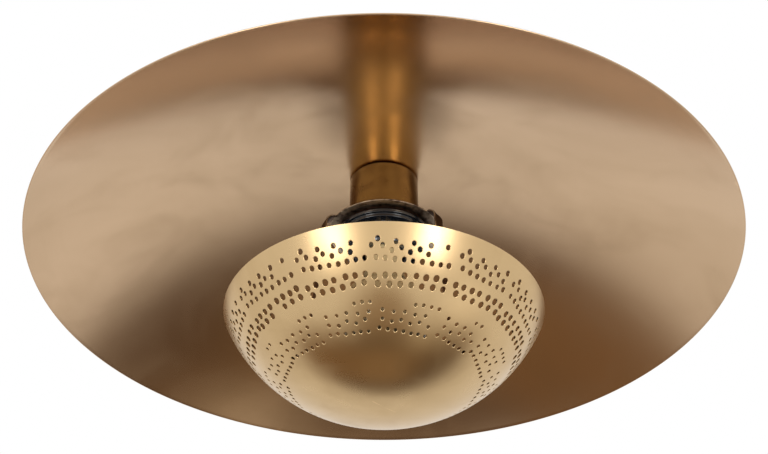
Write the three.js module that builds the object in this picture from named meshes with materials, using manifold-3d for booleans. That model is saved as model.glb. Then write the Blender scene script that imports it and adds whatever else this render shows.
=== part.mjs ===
// Ceiling lamp: a wide spun dish hangs open side down from a hollow threaded rod. Under its cup a
// spider carries a perforated bowl round the bulb, and the socket's ring clamps the spider.
// Millimetres, +Z up, origin at the middle of the ceiling strap's top face.
import * as THREE from 'three';
import { mergeVertices } from 'three/addons/utils/BufferGeometryUtils.js';
import Module from 'manifold-3d';

const wasm = await Module();
wasm.setup();

// Clearances
const SEAT = 0.3; // between faces that rest on each other
const RUN = 0.5; // round the socket, where the spider and the ring turn
const FOOT_GAP = 0.8; // between an arm's straight foot and the round wall of the bowl
const PAST = 1; // how far a cutting tool runs past a face, or a joined piece into its neighbour
const WELD = 1e-4; // corners nearer than this are one corner

// Flats round the turned pieces
const DISH_FLATS = 48;
const CUP_FLATS = 28;
const SOCKET_FLATS = 18;
const BULB_FLATS = 18;
const ROD_FLATS = 16;
const SMALL_FLATS = 8;

// Steps round a corner
const CORNER_STEPS = 3;
const INNER_CORNER_STEPS = 2;
const SLOT_STEPS = 4;

// Ceiling strap: a flat strap with two slots and two legs
const strapLength = 84;
const strapWidth = 22;
const strapThickness = 2;
const strapDrop = 20;
const slotOffset = 26;
const slotLength = 13;
const slotWidth = 5.4;
const bendRadius = 2.4;

// Crossbar between the strap's legs, and the screws that hold it there
const barWidth = 18;
const barThickness = 2;
const barDrop = 24;
const barRise = 16;
const sideScrewDrop = 13;
const sideScrewRadius = 2;
const sideScrewLength = 9;
const sideScrewHeadRadius = 4;
const sideScrewHead = 2.4;

// A screw head slopes in above this share of its height, to this share of its radius
const headSlope = 0.6;

// Hollow rod, nuts and washers
const rodRadius = 5;
const rodBore = 3.75;
const rodTopDrop = 17;
const nutAcrossFlats = 14;
const nutThickness = 4;
const washerRadius = 12;
const washerThickness = 1.5;
const lockWasherRadius = 9;
const lockWasherThickness = 1;

// Dish: a flat round middle, then a cap of a sphere down to a plain rim
const dishRadius = 230;
const dishDepth = 75;
const dishThickness = 1;
const dishFlatRadius = 27;
const dishSteps = 5;

// Cup between the dish and the spider
const cupRadius = 23.2;
const cupThickness = 0.8;
const cupHeight = 43.5;
const cupCorner = 1.6;

// Socket
const capRadius = 20.5;
const capHeight = 16;
const capWall = 2.6;
const capShoulder = 5;
const capBelowNut = 2;
const rodIntoCap = 3.6;
const mantleRadius = 20;
const mantleBelowPlate = 17.4;
const mantleWall = 2.8;
const insertRadius = 16.8;
const insertThickness = 5;
const insertDepth = 29; // from the mantle's mouth up to the insert
const ribWidth = 3;
const ribLength = 24;
const ribHeight = 4.5;
const shellRadius = 14.1;
const shellWall = 0.5;
const shellLength = 21;
const shellHole = 6.5;
const contactThickness = 0.5;
const contactWidth = 5;
const contactDip = 1.8;
const contactReach = 4.2;
const terminalLength = 6;
const terminalWidth = 8;
const terminalHeight = 4.6;
const terminalOffset = 9.4;
const terminalScrewRadius = 1.5;
const terminalScrewHeadRadius = 2.4;
const terminalScrewHead = 1.5;
const terminalScrewLength = 3.6;

// Spider: a plate with arms bent down at its edge, cut from one sheet
const plateRadius = 36.7;
const plateThickness = 1;
const armCount = 3;
const armFirstAngle = 86;
const armWidth = 9;
const armRadius = 43;
const armBend = 3.4;
const kneeRadius = 50;
const footRadius = 63;

// Shade ring, stepped above and ribbed below, with the washer on it
const ringRadius = 31.2;
const ringLip = 2.4;
const ringStepRadius = 29.4;
const ringStep = 2.2;
const ringChamfer = 0.5;
const ringHeight = 13;
const ringCollarRadius = 26;
const ringRibs = 18;
const ringRibDepth = 1;
const linerRadius = 28;
const linerThickness = 0.8;

// Bowl: a cap of a sphere with a plain rim and a plain bottom
const bowlRadius = 101.8;
const bowlDepth = 64.6;
const bowlThickness = 0.9;
const bowlBelowDishRim = 35.9;
const bowlColumns = 36;
const bowlBottomSteps = 2;

// Bands of punched holes. fromRim and rowHeight are lengths along the bowl's section, and
// shift moves every other column's hole sideways by a share of the column's width.
const bands = [
  { fromRim: 6.1, rowHeight: 5.8, rows: 3, holeRadius: 1.7, holeSides: 5, shift: 0, plainRow: 2 },
  { fromRim: 29, rowHeight: 5.1, rows: 2, holeRadius: 1.8, holeSides: 5, shift: 0.12, plainRow: -1 },
  { fromRim: 47.2, rowHeight: 6.8, rows: 3, holeRadius: 1.3, holeSides: 4, shift: 0, plainRow: 2 },
];
const holeGroup = 9; // columns from one blank column to the next
const blankStep = 4; // columns that the blanks move round from band to band

// Bulb
const bulbRadius = 30;
const bulbLength = 105;
const bulbWall = 1.2;
const bulbNeckRadius = 11.9;
const bulbNeckInCap = 8;
const bulbNeckBelowCap = 4;
const bulbTangentAngle = 35; // where the ball ends and the curve up to the neck starts
const bulbBallSteps = 7;
const bulbCurveSteps = 3;
const bulbCapRadius = 13.1;
const bulbCapWall = 0.5;
const bulbCapLength = 19;
const bulbCapTopRadius = 9.5;
const bulbCapTaper = 3;
const insulatorRadius = 8.6;
const insulatorHeight = 3.6;
const tipRadius = 4.6;
const tipHeight = 1.6;
const stemRadius = 4.2;
const stemFlare = 5;
const filamentRadius = 12;
const filamentWire = 0.5;
const filamentGap = 16; // angle from the axis to each end of the filament's open ring
const filamentSteps = 14;
const filamentRise = 10; // from the ball's middle up to the filament
const filamentDrop = 4; // from the stem's end down to the filament
const leadRadius = 2.4; // from the axis to the filament's two leads at the stem

// Terminal block on the crossbar, with one pole for each wire
const blockLength = 14;
const blockOffset = 24;
const poleWidth = 4.2;
const polePitch = 5.2;
const poleHeight = 13;
const webHeight = 9;
const clampScrewRadius = 1.3;
const clampScrewSpacing = 7;
const clampScrewHeight = 1;
const clampWell = 2;
const blockScrewRadius = 1.2;
const blockScrewLength = 12;
const blockScrewHeadRadius = 1.9;
const blockScrewHead = 1.4;

// Earth lug and its screw
const lugOffset = 15;
const lugRadius = 4;
const lugTail = 8;
const lugTailWidth = 4;
const lugThickness = 0.8;
const earthScrewRadius = 1.5;
const earthScrewLength = 6;
const earthScrewHeadRadius = 2.8;
const earthScrewHead = 1.6;

// Wires
const wireRadius = 0.9;
const wireSides = 6;
const wireSpread = 1.6; // from the rod's axis to each wire inside it
const wireRise = 6; // from the rod's top up to the wires that bend over it
const wireLead = 4; // straight out of a pole
const wireEase = 3; // straight into and out of the rod
const earthBow = 9; // from the rod's axis to the earth wire where it passes
const mainsWireSteps = 20;
const earthWireSteps = 12;

// Levels from the ceiling down
const strapMiddle = -strapThickness / 2;
const barTop = -barDrop;
const barBottom = barTop - barThickness;
const upperNutBottom = barTop + SEAT;
const lowerNutBottom = barBottom - SEAT - nutThickness;
const washerBottom = lowerNutBottom - SEAT - washerThickness;
const dishTop = washerBottom - SEAT;
const dishUnder = dishTop - dishThickness;
const dishRim = dishUnder - dishDepth;
const cupTop = dishUnder - SEAT;
const cupBottom = cupTop - cupHeight;
const lockWasherBottom = cupTop - cupThickness - SEAT - lockWasherThickness;
const lockNutBottom = lockWasherBottom - SEAT - nutThickness;
const capTop = lockNutBottom - capBelowNut;
const capBottom = capTop - capHeight;
const rodTop = -rodTopDrop;
const rodBottom = capTop - rodIntoCap;
const mantleTop = capBottom - SEAT;
const plateTop = cupBottom - SEAT;
const plateBottom = plateTop - plateThickness;
const mantleBottom = plateBottom - mantleBelowPlate;
const insertBottom = mantleBottom + insertDepth;
const insertTop = insertBottom + insertThickness;
const shellTop = insertBottom - SEAT;
const contactBottom = shellTop - contactThickness - contactDip;
const bulbTop = contactBottom - SEAT;
const linerTop = plateBottom - SEAT;
const ringTop = linerTop - linerThickness - SEAT;
const ringBottom = ringTop - ringHeight;
const bowlRim = dishRim - bowlBelowDishRim;

const degrees = THREE.MathUtils.degToRad;

// Finishes
const BRASS = { color: 0xa98a5b, roughness: 0.34, metalness: 1 };
const POLISHED_BRASS = { color: 0xcdb07e, roughness: 0.28, metalness: 1 };
const DARK_STEEL = { color: 0x3a2a22, roughness: 0.5, metalness: 0.8 };
const ZINC = { color: 0xb4b6b8, roughness: 0.4, metalness: 1 };
const BAKELITE = { color: 0x14110f, roughness: 0.25, metalness: 0 };
const FIBRE = { color: 0x5a2f22, roughness: 0.9, metalness: 0 };
const CERAMIC = { color: 0xe9e5da, roughness: 0.35, metalness: 0 };
const OPAL = { color: 0xf2efe6, roughness: 0.3, metalness: 0 };
const CLEAR_GLASS = { color: 0xdfe8ea, roughness: 0.1, metalness: 0 };
const BLACK_GLASS = { color: 0x151515, roughness: 0.15, metalness: 0 };
const BLOCK_PLASTIC = { color: 0xe6e2d4, roughness: 0.5, metalness: 0 };
const TUNGSTEN = { color: 0x6d6d70, roughness: 0.4, metalness: 1 };
const BROWN_WIRE = { color: 0x4d2c1a, roughness: 0.6, metalness: 0 };
const BLUE_WIRE = { color: 0x2d4f8f, roughness: 0.6, metalness: 0 };
const GREEN_WIRE = { color: 0x4d8a3a, roughness: 0.6, metalness: 0 };

const lamp = new THREE.Group();

function add(name, geometry, finish) {
  const mesh = new THREE.Mesh(geometry, new THREE.MeshStandardMaterial(finish));
  mesh.name = name;
  lamp.add(mesh);
}

// Joins and cuts
function bare(geometry) {
  const copy = geometry.clone();
  copy.deleteAttribute('normal');
  copy.deleteAttribute('uv');
  return mergeVertices(copy, WELD);
}

function solid(geometry) {
  const merged = bare(geometry);
  const corners = merged.index.array;
  const triangles = [];
  for (let i = 0; i < corners.length; i += 3) {
    const [a, b, c] = [corners[i], corners[i + 1], corners[i + 2]];
    if (a !== b && b !== c && c !== a) triangles.push(a, b, c);
  }
  const vertProperties = Float32Array.from(merged.attributes.position.array);
  const mesh = new wasm.Mesh({ numProp: 3, vertProperties, triVerts: Uint32Array.from(triangles) });
  return new wasm.Manifold(mesh);
}

function surface(manifold) {
  const { vertProperties, triVerts } = manifold.getMesh();
  const geometry = new THREE.BufferGeometry();
  geometry.setAttribute('position', new THREE.BufferAttribute(vertProperties, 3));
  geometry.setIndex(new THREE.BufferAttribute(triVerts, 1));
  geometry.computeVertexNormals();
  return geometry;
}

function join(...geometries) {
  return surface(geometries.map(solid).reduce((whole, piece) => whole.add(piece)));
}

function cut(geometry, ...tools) {
  return surface(tools.map(solid).reduce((whole, tool) => whole.subtract(tool), solid(geometry)));
}

// Forms
// Outline in [radius, height] pairs, turned round Z. It ends on the axis or closes on itself.
function turned(pairs, flats) {
  const outline = pairs.map(([radius, height]) => new THREE.Vector2(radius, height));
  const meetsAxis = outline[0].x === 0 && outline.at(-1).x === 0;
  if (THREE.ShapeUtils.area(outline) < 0) outline.reverse();
  if (!meetsAxis) outline.push(outline[0].clone());
  return new THREE.LatheGeometry(outline, flats).rotateX(Math.PI / 2);
}

// Points on an arc in an outline, from one angle to another, in degrees
function arc(centre, radius, from, to, steps) {
  return Array.from({ length: steps + 1 }, (_, i) => {
    const angle = degrees(from + ((to - from) * i) / steps);
    return [centre[0] + radius * Math.cos(angle), centre[1] + radius * Math.sin(angle)];
  });
}

function tube(outer, inner, bottom, top, flats) {
  return turned([[outer, bottom], [outer, top], [inner, top], [inner, bottom]], flats);
}

function rod(radius, bottom, top, flats = SMALL_FLATS) {
  return turned([[0, bottom], [radius, bottom], [radius, top], [0, top]], flats);
}

function block(width, depth, height, x, y, bottom) {
  return new THREE.BoxGeometry(width, depth, height).translate(x, y, bottom + height / 2);
}

// Screw with its head up, the head's seat at the given level
function screw(radius, length, headRadius, head, x, y, seat) {
  const outline = [
    [0, seat - length],
    [radius, seat - length],
    [radius, seat],
    [headRadius, seat],
    [headRadius, seat + head * headSlope],
    [headRadius * headSlope, seat + head],
    [0, seat + head],
  ];
  return turned(outline, SMALL_FLATS).translate(x, y, 0);
}

function hexNut(bottom) {
  const corner = nutAcrossFlats / Math.sqrt(3);
  const nut = new THREE.CylinderGeometry(corner, corner, nutThickness, 6);
  nut.rotateX(Math.PI / 2).translate(0, 0, bottom + nutThickness / 2);
  return cut(nut, rod(rodRadius + SEAT, bottom - PAST, bottom + nutThickness + PAST, ROD_FLATS));
}

// Strip bent along a line of corners in a vertical plane, centred across its width
function strip(corners, bend, thickness, width, steps = CORNER_STEPS) {
  const line = corners.map(([along, height]) => new THREE.Vector2(along, height));
  const samples = [];
  const sample = (point, direction) => {
    samples.push({ point, across: new THREE.Vector2(-direction.y, direction.x) });
  };
  const directions = line.slice(1).map((point, i) => point.clone().sub(line[i]).normalize());
  sample(line[0], directions[0]);
  for (let i = 1; i < line.length - 1; i += 1) {
    const before = directions[i - 1];
    const after = directions[i];
    const turn = Math.atan2(before.cross(after), before.dot(after));
    const setBack = bend * Math.tan(Math.abs(turn) / 2);
    const start = line[i].clone().addScaledVector(before, -setBack);
    const side = new THREE.Vector2(-before.y, before.x).multiplyScalar(Math.sign(turn) * bend);
    const centre = start.clone().add(side);
    for (let k = 0; k <= steps; k += 1) {
      const angle = (turn * k) / steps;
      const point = start.clone().rotateAround(centre, angle);
      sample(point, before.clone().rotateAround(new THREE.Vector2(), angle));
    }
  }
  sample(line.at(-1), directions.at(-1));
  const edge = (offset) => samples.map((s) => s.point.clone().addScaledVector(s.across, offset));
  const outline = [...edge(thickness / 2), ...edge(-thickness / 2).reverse()];
  const shape = new THREE.Shape(outline);
  const strap = new THREE.ExtrudeGeometry(shape, { depth: width, bevelEnabled: false });
  return strap.rotateX(Math.PI / 2).translate(0, width / 2, 0);
}

function slot(length, width, x, bottom, top) {
  const half = (length - width) / 2;
  const shape = new THREE.Shape();
  shape.absarc(half, 0, width / 2, -Math.PI / 2, Math.PI / 2);
  shape.absarc(-half, 0, width / 2, Math.PI / 2, (3 * Math.PI) / 2);
  const options = { depth: top - bottom, bevelEnabled: false, curveSegments: SLOT_STEPS };
  return new THREE.ExtrudeGeometry(shape, options).translate(x, 0, bottom);
}

function round(radius, sides) {
  const points = arc([0, 0], radius, 0, 360, sides).slice(1);
  return new THREE.Shape(points.map((point) => new THREE.Vector2(...point)));
}

// Insulated wire along a smooth line through its points
function wire(points, steps) {
  const section = round(wireRadius, wireSides);
  const extrudePath = new THREE.CatmullRomCurve3(points.map((p) => new THREE.Vector3(...p)));
  return new THREE.ExtrudeGeometry(section, { steps, bevelEnabled: false, extrudePath });
}

// Ceiling strap, crossbar and side screws
const legMiddle = strapLength / 2 - strapThickness / 2;
const barEnd = strapLength / 2 - strapThickness - SEAT - barThickness / 2;
const alongX = (geometry, x, height) => geometry.rotateY(Math.PI / 2).translate(x, 0, height);

function ceilingStrap() {
  const corners = [
    [-legMiddle, -strapDrop],
    [-legMiddle, strapMiddle],
    [legMiddle, strapMiddle],
    [legMiddle, -strapDrop],
  ];
  const slots = [-1, 1].map((side) => (
    slot(slotLength, slotWidth, side * slotOffset, -strapThickness - PAST, PAST)
  ));
  const screwHoles = rod(sideScrewRadius + SEAT, -strapLength, strapLength);
  return cut(
    strip(corners, bendRadius, strapThickness, strapWidth),
    ...slots,
    alongX(screwHoles, 0, -sideScrewDrop),
  );
}

function crossbar() {
  const middle = (barTop + barBottom) / 2;
  const corners = [
    [-barEnd, barBottom + barRise],
    [-barEnd, middle],
    [barEnd, middle],
    [barEnd, barBottom + barRise],
  ];
  const through = [barBottom - PAST, barTop + PAST];
  return cut(
    strip(corners, bendRadius, barThickness, barWidth),
    rod(rodRadius + SEAT, ...through, ROD_FLATS),
    rod(blockScrewRadius + SEAT, ...through).translate(blockOffset, -polePitch / 2, 0),
    rod(earthScrewRadius + SEAT, ...through).translate(-lugOffset, 0, 0),
    alongX(rod(sideScrewRadius + SEAT, -strapLength, strapLength), 0, -sideScrewDrop),
  );
}

function sideScrew(side) {
  const seat = strapLength / 2 + SEAT;
  const upright = screw(
    sideScrewRadius,
    sideScrewLength,
    sideScrewHeadRadius,
    sideScrewHead,
    0,
    0,
    seat,
  );
  return alongX(upright, 0, -sideScrewDrop).rotateZ(side > 0 ? 0 : Math.PI);
}

// Dish: its lower face lies on a sphere through the edge of the flat and the rim
function dish() {
  const rise = (dishRadius ** 2 - dishFlatRadius ** 2 + dishDepth ** 2) / (2 * dishDepth);
  const radius = Math.hypot(dishFlatRadius, rise);
  const centre = [0, dishUnder - rise];
  const angleAt = (reach) => 90 - THREE.MathUtils.radToDeg(Math.asin(reach / radius));
  const from = angleAt(dishFlatRadius);
  const to = angleAt(dishRadius);
  const hole = rodRadius + SEAT;
  const lower = arc(centre, radius, from, to, dishSteps);
  const upper = arc(centre, radius + dishThickness, to, from, dishSteps);
  upper[dishSteps] = [dishFlatRadius, dishTop];
  return turned([[hole, dishUnder], ...lower, ...upper, [hole, dishTop]], DISH_FLATS);
}

function cup() {
  const hole = rodRadius + SEAT;
  const centre = [cupRadius - cupCorner, cupTop - cupCorner];
  const outline = [
    [hole, cupTop],
    ...arc(centre, cupCorner, 90, 0, CORNER_STEPS),
    [cupRadius, cupBottom],
    [cupRadius - cupThickness, cupBottom],
    ...arc(centre, cupCorner - cupThickness, 0, 90, INNER_CORNER_STEPS),
    [hole, cupTop - cupThickness],
  ];
  return turned(outline, CUP_FLATS);
}

// Socket
function socketCap() {
  const hole = rodRadius + SEAT;
  const centre = [capRadius - capShoulder, capTop - capShoulder];
  const outline = [
    [hole, capTop],
    ...arc(centre, capShoulder, 90, 0, CORNER_STEPS),
    [capRadius, capBottom],
    [capRadius - capWall, capBottom],
    ...arc(centre, capShoulder - capWall, 0, 90, INNER_CORNER_STEPS),
    [hole, capTop - capWall],
  ];
  return turned(outline, SOCKET_FLATS);
}

function socketMantle() {
  const outline = [
    [mantleRadius, mantleBottom],
    [mantleRadius, mantleTop],
    [mantleRadius - mantleWall, mantleTop],
    [mantleRadius - mantleWall, shellTop],
    [shellRadius + SEAT, shellTop],
    [shellRadius + SEAT, mantleBottom],
  ];
  return turned(outline, SOCKET_FLATS);
}

function socketInsert() {
  const disc = rod(insertRadius, insertBottom, insertTop, SOCKET_FLATS);
  return join(disc, block(ribLength, ribWidth, ribHeight + PAST, 0, 0, insertTop - PAST));
}

function threadShell() {
  const outline = [
    [shellHole, shellTop],
    [shellRadius, shellTop],
    [shellRadius, shellTop - shellLength],
    [shellRadius - shellWall, shellTop - shellLength],
    [shellRadius - shellWall, shellTop - shellWall],
    [shellHole, shellTop - shellWall],
  ];
  return turned(outline, SOCKET_FLATS);
}

function centreContact() {
  const high = shellTop - contactThickness / 2;
  const low = contactBottom + contactThickness / 2;
  const corners = [[-contactReach, high], [-contactReach / 2, high], [0, low], [contactReach, high]];
  return strip(corners, contactThickness, contactThickness, contactWidth, INNER_CORNER_STEPS);
}

const terminalBottom = insertTop + SEAT;
const terminalTop = terminalBottom + terminalHeight;

function terminal(side) {
  const y = side * terminalOffset;
  const body = block(terminalWidth, terminalLength, terminalHeight, 0, y, terminalBottom);
  const hole = rod(terminalScrewRadius + SEAT, terminalBottom + SEAT, terminalTop + PAST);
  return cut(body, hole.translate(0, y, 0));
}

function terminalScrew(side) {
  return screw(
    terminalScrewRadius,
    terminalScrewLength,
    terminalScrewHeadRadius,
    terminalScrewHead,
    0,
    side * terminalOffset,
    terminalTop + SEAT,
  );
}

// Spider: its plate and arms are one sheet, and the feet lie along the bowl's wall
const bowlSphere = (bowlRadius ** 2 + bowlDepth ** 2) / (2 * bowlDepth);
const bowlCentre = bowlRim - bowlDepth + bowlSphere;

function spider() {
  const footSphere = bowlSphere - bowlThickness - FOOT_GAP - plateThickness / 2;
  const onWall = (reach) => [reach, bowlCentre - Math.sqrt(footSphere ** 2 - reach ** 2)];
  const sheet = (plateTop + plateBottom) / 2;
  const hole = mantleRadius + RUN;
  const corners = [
    [(hole + plateRadius) / 2, sheet],
    [armRadius, sheet],
    onWall(kneeRadius),
    onWall(footRadius),
  ];
  const arms = Array.from({ length: armCount }, (_, i) => {
    const angle = armFirstAngle + (360 * i) / armCount;
    return strip(corners, armBend, plateThickness, armWidth).rotateZ(degrees(angle));
  });
  return join(tube(plateRadius, hole, plateBottom, plateTop, CUP_FLATS), ...arms);
}

function shadeRing() {
  const hole = mantleRadius + RUN;
  const collarTop = ringTop - ringLip - ringStep;
  const head = [
    [hole, collarTop - PAST],
    [ringCollarRadius, collarTop - PAST],
    [ringStepRadius, collarTop],
    [ringStepRadius, ringTop - ringLip],
    [ringRadius, ringTop - ringLip],
    [ringRadius, ringTop - ringChamfer],
    [ringRadius - ringChamfer, ringTop],
    [hole, ringTop],
  ];
  const ribs = Array.from({ length: 2 * ringRibs }, (_, i) => {
    const radius = ringCollarRadius - (i % 2) * ringRibDepth;
    const angle = (Math.PI * i) / ringRibs;
    return new THREE.Vector2(radius * Math.cos(angle), radius * Math.sin(angle));
  });
  const collar = new THREE.Shape(ribs);
  const depth = collarTop - ringBottom;
  const ribbed = new THREE.ExtrudeGeometry(collar, { depth, bevelEnabled: false });
  const whole = join(ribbed.translate(0, 0, ringBottom), turned(head, CUP_FLATS));
  return cut(whole, rod(hole, ringBottom - PAST, ringTop + PAST, SOCKET_FLATS));
}

// Bowl: a grid of cells on two spheres, some of them with a hole. A place on the grid is
// [column, length along the section from the rim].
function bowl() {
  const corners = [];
  const rimAngle = Math.asin(bowlRadius / bowlSphere);
  const columnAngle = (2 * Math.PI) / bowlColumns;
  const polar = (fromRim) => rimAngle - fromRim / bowlSphere;

  const place = ([column, fromRim], radius) => {
    const turn = (column % bowlColumns) * columnAngle;
    const reach = radius * Math.sin(polar(fromRim));
    const height = bowlCentre - radius * Math.cos(polar(fromRim));
    return [reach * Math.cos(turn), reach * Math.sin(turn), height];
  };
  const outer = (at) => place(at, bowlSphere);
  const inner = (at) => place(at, bowlSphere - bowlThickness);
  const sheet = (a, b, c) => {
    corners.push(...outer(a), ...outer(b), ...outer(c));
    corners.push(...inner(a), ...inner(c), ...inner(b));
  };
  const wall = (a, b) => {
    corners.push(...outer(a), ...outer(b), ...inner(b));
    corners.push(...outer(a), ...inner(b), ...inner(a));
  };

  const plainCell = (column, top, bottom) => {
    sheet([column, top], [column, bottom], [column + 1, bottom]);
    sheet([column, top], [column + 1, bottom], [column + 1, top]);
  };

  const holedCell = (column, top, bottom, band) => {
    const middle = (top + bottom) / 2;
    const width = bowlSphere * Math.sin(polar(middle)) * columnAngle;
    const shift = column % 2 === 0 ? band.shift : -band.shift;
    const centre = [column + 0.5 + shift, middle];
    const hole = Array.from({ length: band.holeSides }, (_, k) => {
      const angle = (2 * Math.PI * k) / band.holeSides;
      const across = (band.holeRadius * Math.sin(angle)) / width;
      return [centre[0] + across, centre[1] - band.holeRadius * Math.cos(angle)];
    });
    const cell = [[column, top], [column + 1, top], [column + 1, bottom], [column, bottom]];
    const distance = (a, b) => Math.hypot((a[0] - b[0]) * width, a[1] - b[1]);
    const nearest = hole.map((point, k) => {
      const next = hole[(k + 1) % hole.length];
      const between = [(point[0] + next[0]) / 2, (point[1] + next[1]) / 2];
      const far = cell.map((corner) => distance(corner, between));
      return far.indexOf(Math.min(...far));
    });
    hole.forEach((point, k) => {
      const n = (k + 1) % hole.length;
      sheet(point, hole[n], cell[nearest[k]]);
      for (let c = nearest[k]; c !== nearest[n]; c = (c + 1) % 4) {
        sheet(cell[c], hole[n], cell[(c + 1) % 4]);
      }
      wall(hole[n], point);
    });
  };

  // A zigzag runs over the rows above a band's plain row, and every group has a blank column
  const isPunched = (column, row, band, blank) => {
    if (column % holeGroup === blank) return false;
    if (row === band.plainRow || band.plainRow < 0) return true;
    return column % 2 === row;
  };

  let fromRim = 0;
  const plainRing = (bottom, steps = 1) => {
    const height = (bottom - fromRim) / steps;
    for (let step = 0; step < steps; step += 1) {
      for (let column = 0; column < bowlColumns; column += 1) {
        plainCell(column, fromRim, fromRim + height);
      }
      fromRim += height;
    }
  };
  bands.forEach((band, index) => {
    plainRing(band.fromRim);
    for (let row = 0; row < band.rows; row += 1) {
      const bottom = fromRim + band.rowHeight;
      for (let column = 0; column < bowlColumns; column += 1) {
        const blank = (index * blankStep) % holeGroup;
        if (isPunched(column, row, band, blank)) holedCell(column, fromRim, bottom, band);
        else plainCell(column, fromRim, bottom);
      }
      fromRim = bottom;
    }
  });
  const pole = bowlSphere * rimAngle;
  plainRing(fromRim + ((pole - fromRim) * (bowlBottomSteps - 1)) / bowlBottomSteps, bowlBottomSteps - 1);
  for (let column = 0; column < bowlColumns; column += 1) {
    sheet([column, fromRim], [0, pole], [column + 1, fromRim]);
    wall([column, 0], [column + 1, 0]);
  }
  const geometry = new THREE.BufferGeometry();
  geometry.setAttribute('position', new THREE.Float32BufferAttribute(corners, 3));
  const merged = mergeVertices(geometry, WELD);
  merged.computeVertexNormals();
  return merged;
}

// Bulb
const tipBottom = bulbTop - tipHeight;
const insulatorTop = tipBottom - SEAT;
const insulatorBottom = insulatorTop - insulatorHeight;
const bulbCapTop = insulatorBottom - SEAT;
const bulbCapBottom = bulbCapTop - bulbCapLength;
const bulbBottom = bulbTop - bulbLength;
const ballMiddle = bulbBottom + bulbRadius;
const neckTop = bulbCapBottom + bulbNeckInCap;
const stemBottom = ballMiddle + filamentRise + filamentDrop;

function bulbCap() {
  const outline = [
    [bulbCapTopRadius, bulbCapTop],
    [bulbCapRadius, bulbCapTop - bulbCapTaper],
    [bulbCapRadius, bulbCapBottom],
    [bulbCapRadius - bulbCapWall, bulbCapBottom],
    [bulbCapRadius - bulbCapWall, bulbCapTop - bulbCapTaper],
    [bulbCapTopRadius - bulbCapWall, bulbCapTop],
  ];
  return turned(outline, BULB_FLATS);
}

// Glass: a ball, a hollow curve up to the neck, open where the neck ends inside the cap
function bulbGlass() {
  const neckEnd = bulbCapBottom - bulbNeckBelowCap;
  const side = (inset) => {
    const ball = arc([0, ballMiddle], bulbRadius - inset, -90, bulbTangentAngle, bulbBallSteps);
    const start = new THREE.Vector2(...ball.at(-1));
    const neck = bulbNeckRadius - inset;
    const slope = Math.tan(degrees(90 - bulbTangentAngle));
    const control = new THREE.Vector2(neck, start.y + (start.x - neck) / slope);
    const end = new THREE.Vector2(neck, neckEnd);
    const curve = new THREE.QuadraticBezierCurve(start, control, end);
    const blend = curve.getPoints(bulbCurveSteps).slice(1).map((point) => [point.x, point.y]);
    const bottom = [0, ballMiddle - bulbRadius + inset];
    return [bottom, ...ball.slice(1), ...blend, [neck, neckTop]];
  };
  return turned([...side(0), ...side(bulbWall).reverse()], BULB_FLATS);
}

function bulbStem() {
  const outline = [
    [0, neckTop],
    [bulbNeckRadius - bulbWall - SEAT, neckTop],
    [stemRadius, neckTop - stemFlare],
    [stemRadius, stemBottom],
    [0, stemBottom],
  ];
  return turned(outline, SMALL_FLATS);
}

// One wire: a lead out of the stem's end, an open ring round the axis, and the lead back
function filament() {
  const section = round(filamentWire, 4);
  const level = stemBottom - filamentDrop;
  const ring = arc([0, 0], filamentRadius, filamentGap, 360 - filamentGap, filamentSteps);
  const ends = arc([0, 0], leadRadius, filamentGap, 360 - filamentGap, 1);
  const leads = ends.map(([x, y]) => [
    new THREE.Vector3(x, y, stemBottom - SEAT),
    new THREE.Vector3(x, y, stemBottom - filamentDrop / 2),
  ]);
  const extrudePath = new THREE.CatmullRomCurve3([
    ...leads[0],
    ...ring.map(([x, y]) => new THREE.Vector3(x, y, level)),
    ...leads[1].reverse(),
  ]);
  const options = { steps: 2 * filamentSteps, bevelEnabled: false, extrudePath };
  return new THREE.ExtrudeGeometry(section, options);
}

// Terminal block: a pole stands up for each wire, with two clamp screws on it
const blockBottom = barTop + SEAT;
const poles = [-polePitch, 0, polePitch];
const blockInner = blockOffset - blockLength / 2;
const clampPlaces = poles.flatMap((y) => [-1, 1].map((side) => (
  [blockOffset + (side * clampScrewSpacing) / 2, y]
)));

function terminalBlock() {
  const width = 2 * polePitch + poleWidth;
  const web = block(blockLength, width, webHeight, blockOffset, 0, blockBottom);
  const posts = poles.map((y) => (
    block(blockLength, poleWidth, poleHeight, blockOffset, y, blockBottom)
  ));
  const top = blockBottom + poleHeight;
  const wells = clampPlaces.map(([x, y]) => (
    rod(clampScrewRadius + SEAT, top - clampWell, top + PAST).translate(x, y, 0)
  ));
  const between = [blockOffset, -polePitch / 2, 0];
  const fixing = rod(blockScrewRadius + SEAT, blockBottom - PAST, top);
  const headWell = rod(blockScrewHeadRadius + SEAT, blockBottom + webHeight, top + PAST);
  return cut(
    join(web, ...posts),
    ...wells,
    fixing.translate(...between),
    headWell.translate(...between),
  );
}

function clampScrew([x, y]) {
  const bottom = blockBottom + poleHeight - clampWell + SEAT;
  return rod(clampScrewRadius, bottom, bottom + clampScrewHeight).translate(x, y, 0);
}

const lugTop = barTop + SEAT + lugThickness;

function earthLug() {
  const ring = rod(lugRadius, barTop + SEAT, lugTop).translate(-lugOffset, 0, 0);
  const tail = block(lugTailWidth, lugTail, lugThickness, -lugOffset, lugTail / 2, barTop + SEAT);
  const hole = rod(earthScrewRadius + SEAT, barTop, lugTop + PAST).translate(-lugOffset, 0, 0);
  return cut(join(ring, tail), hole);
}

// Wires leave the block's poles. Live and neutral go down the rod, and earth goes to its lug.
const wireExit = blockInner - SEAT;
const wireLevel = blockBottom + poleHeight / 2;
const overRod = rodTop + wireRise;

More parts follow.
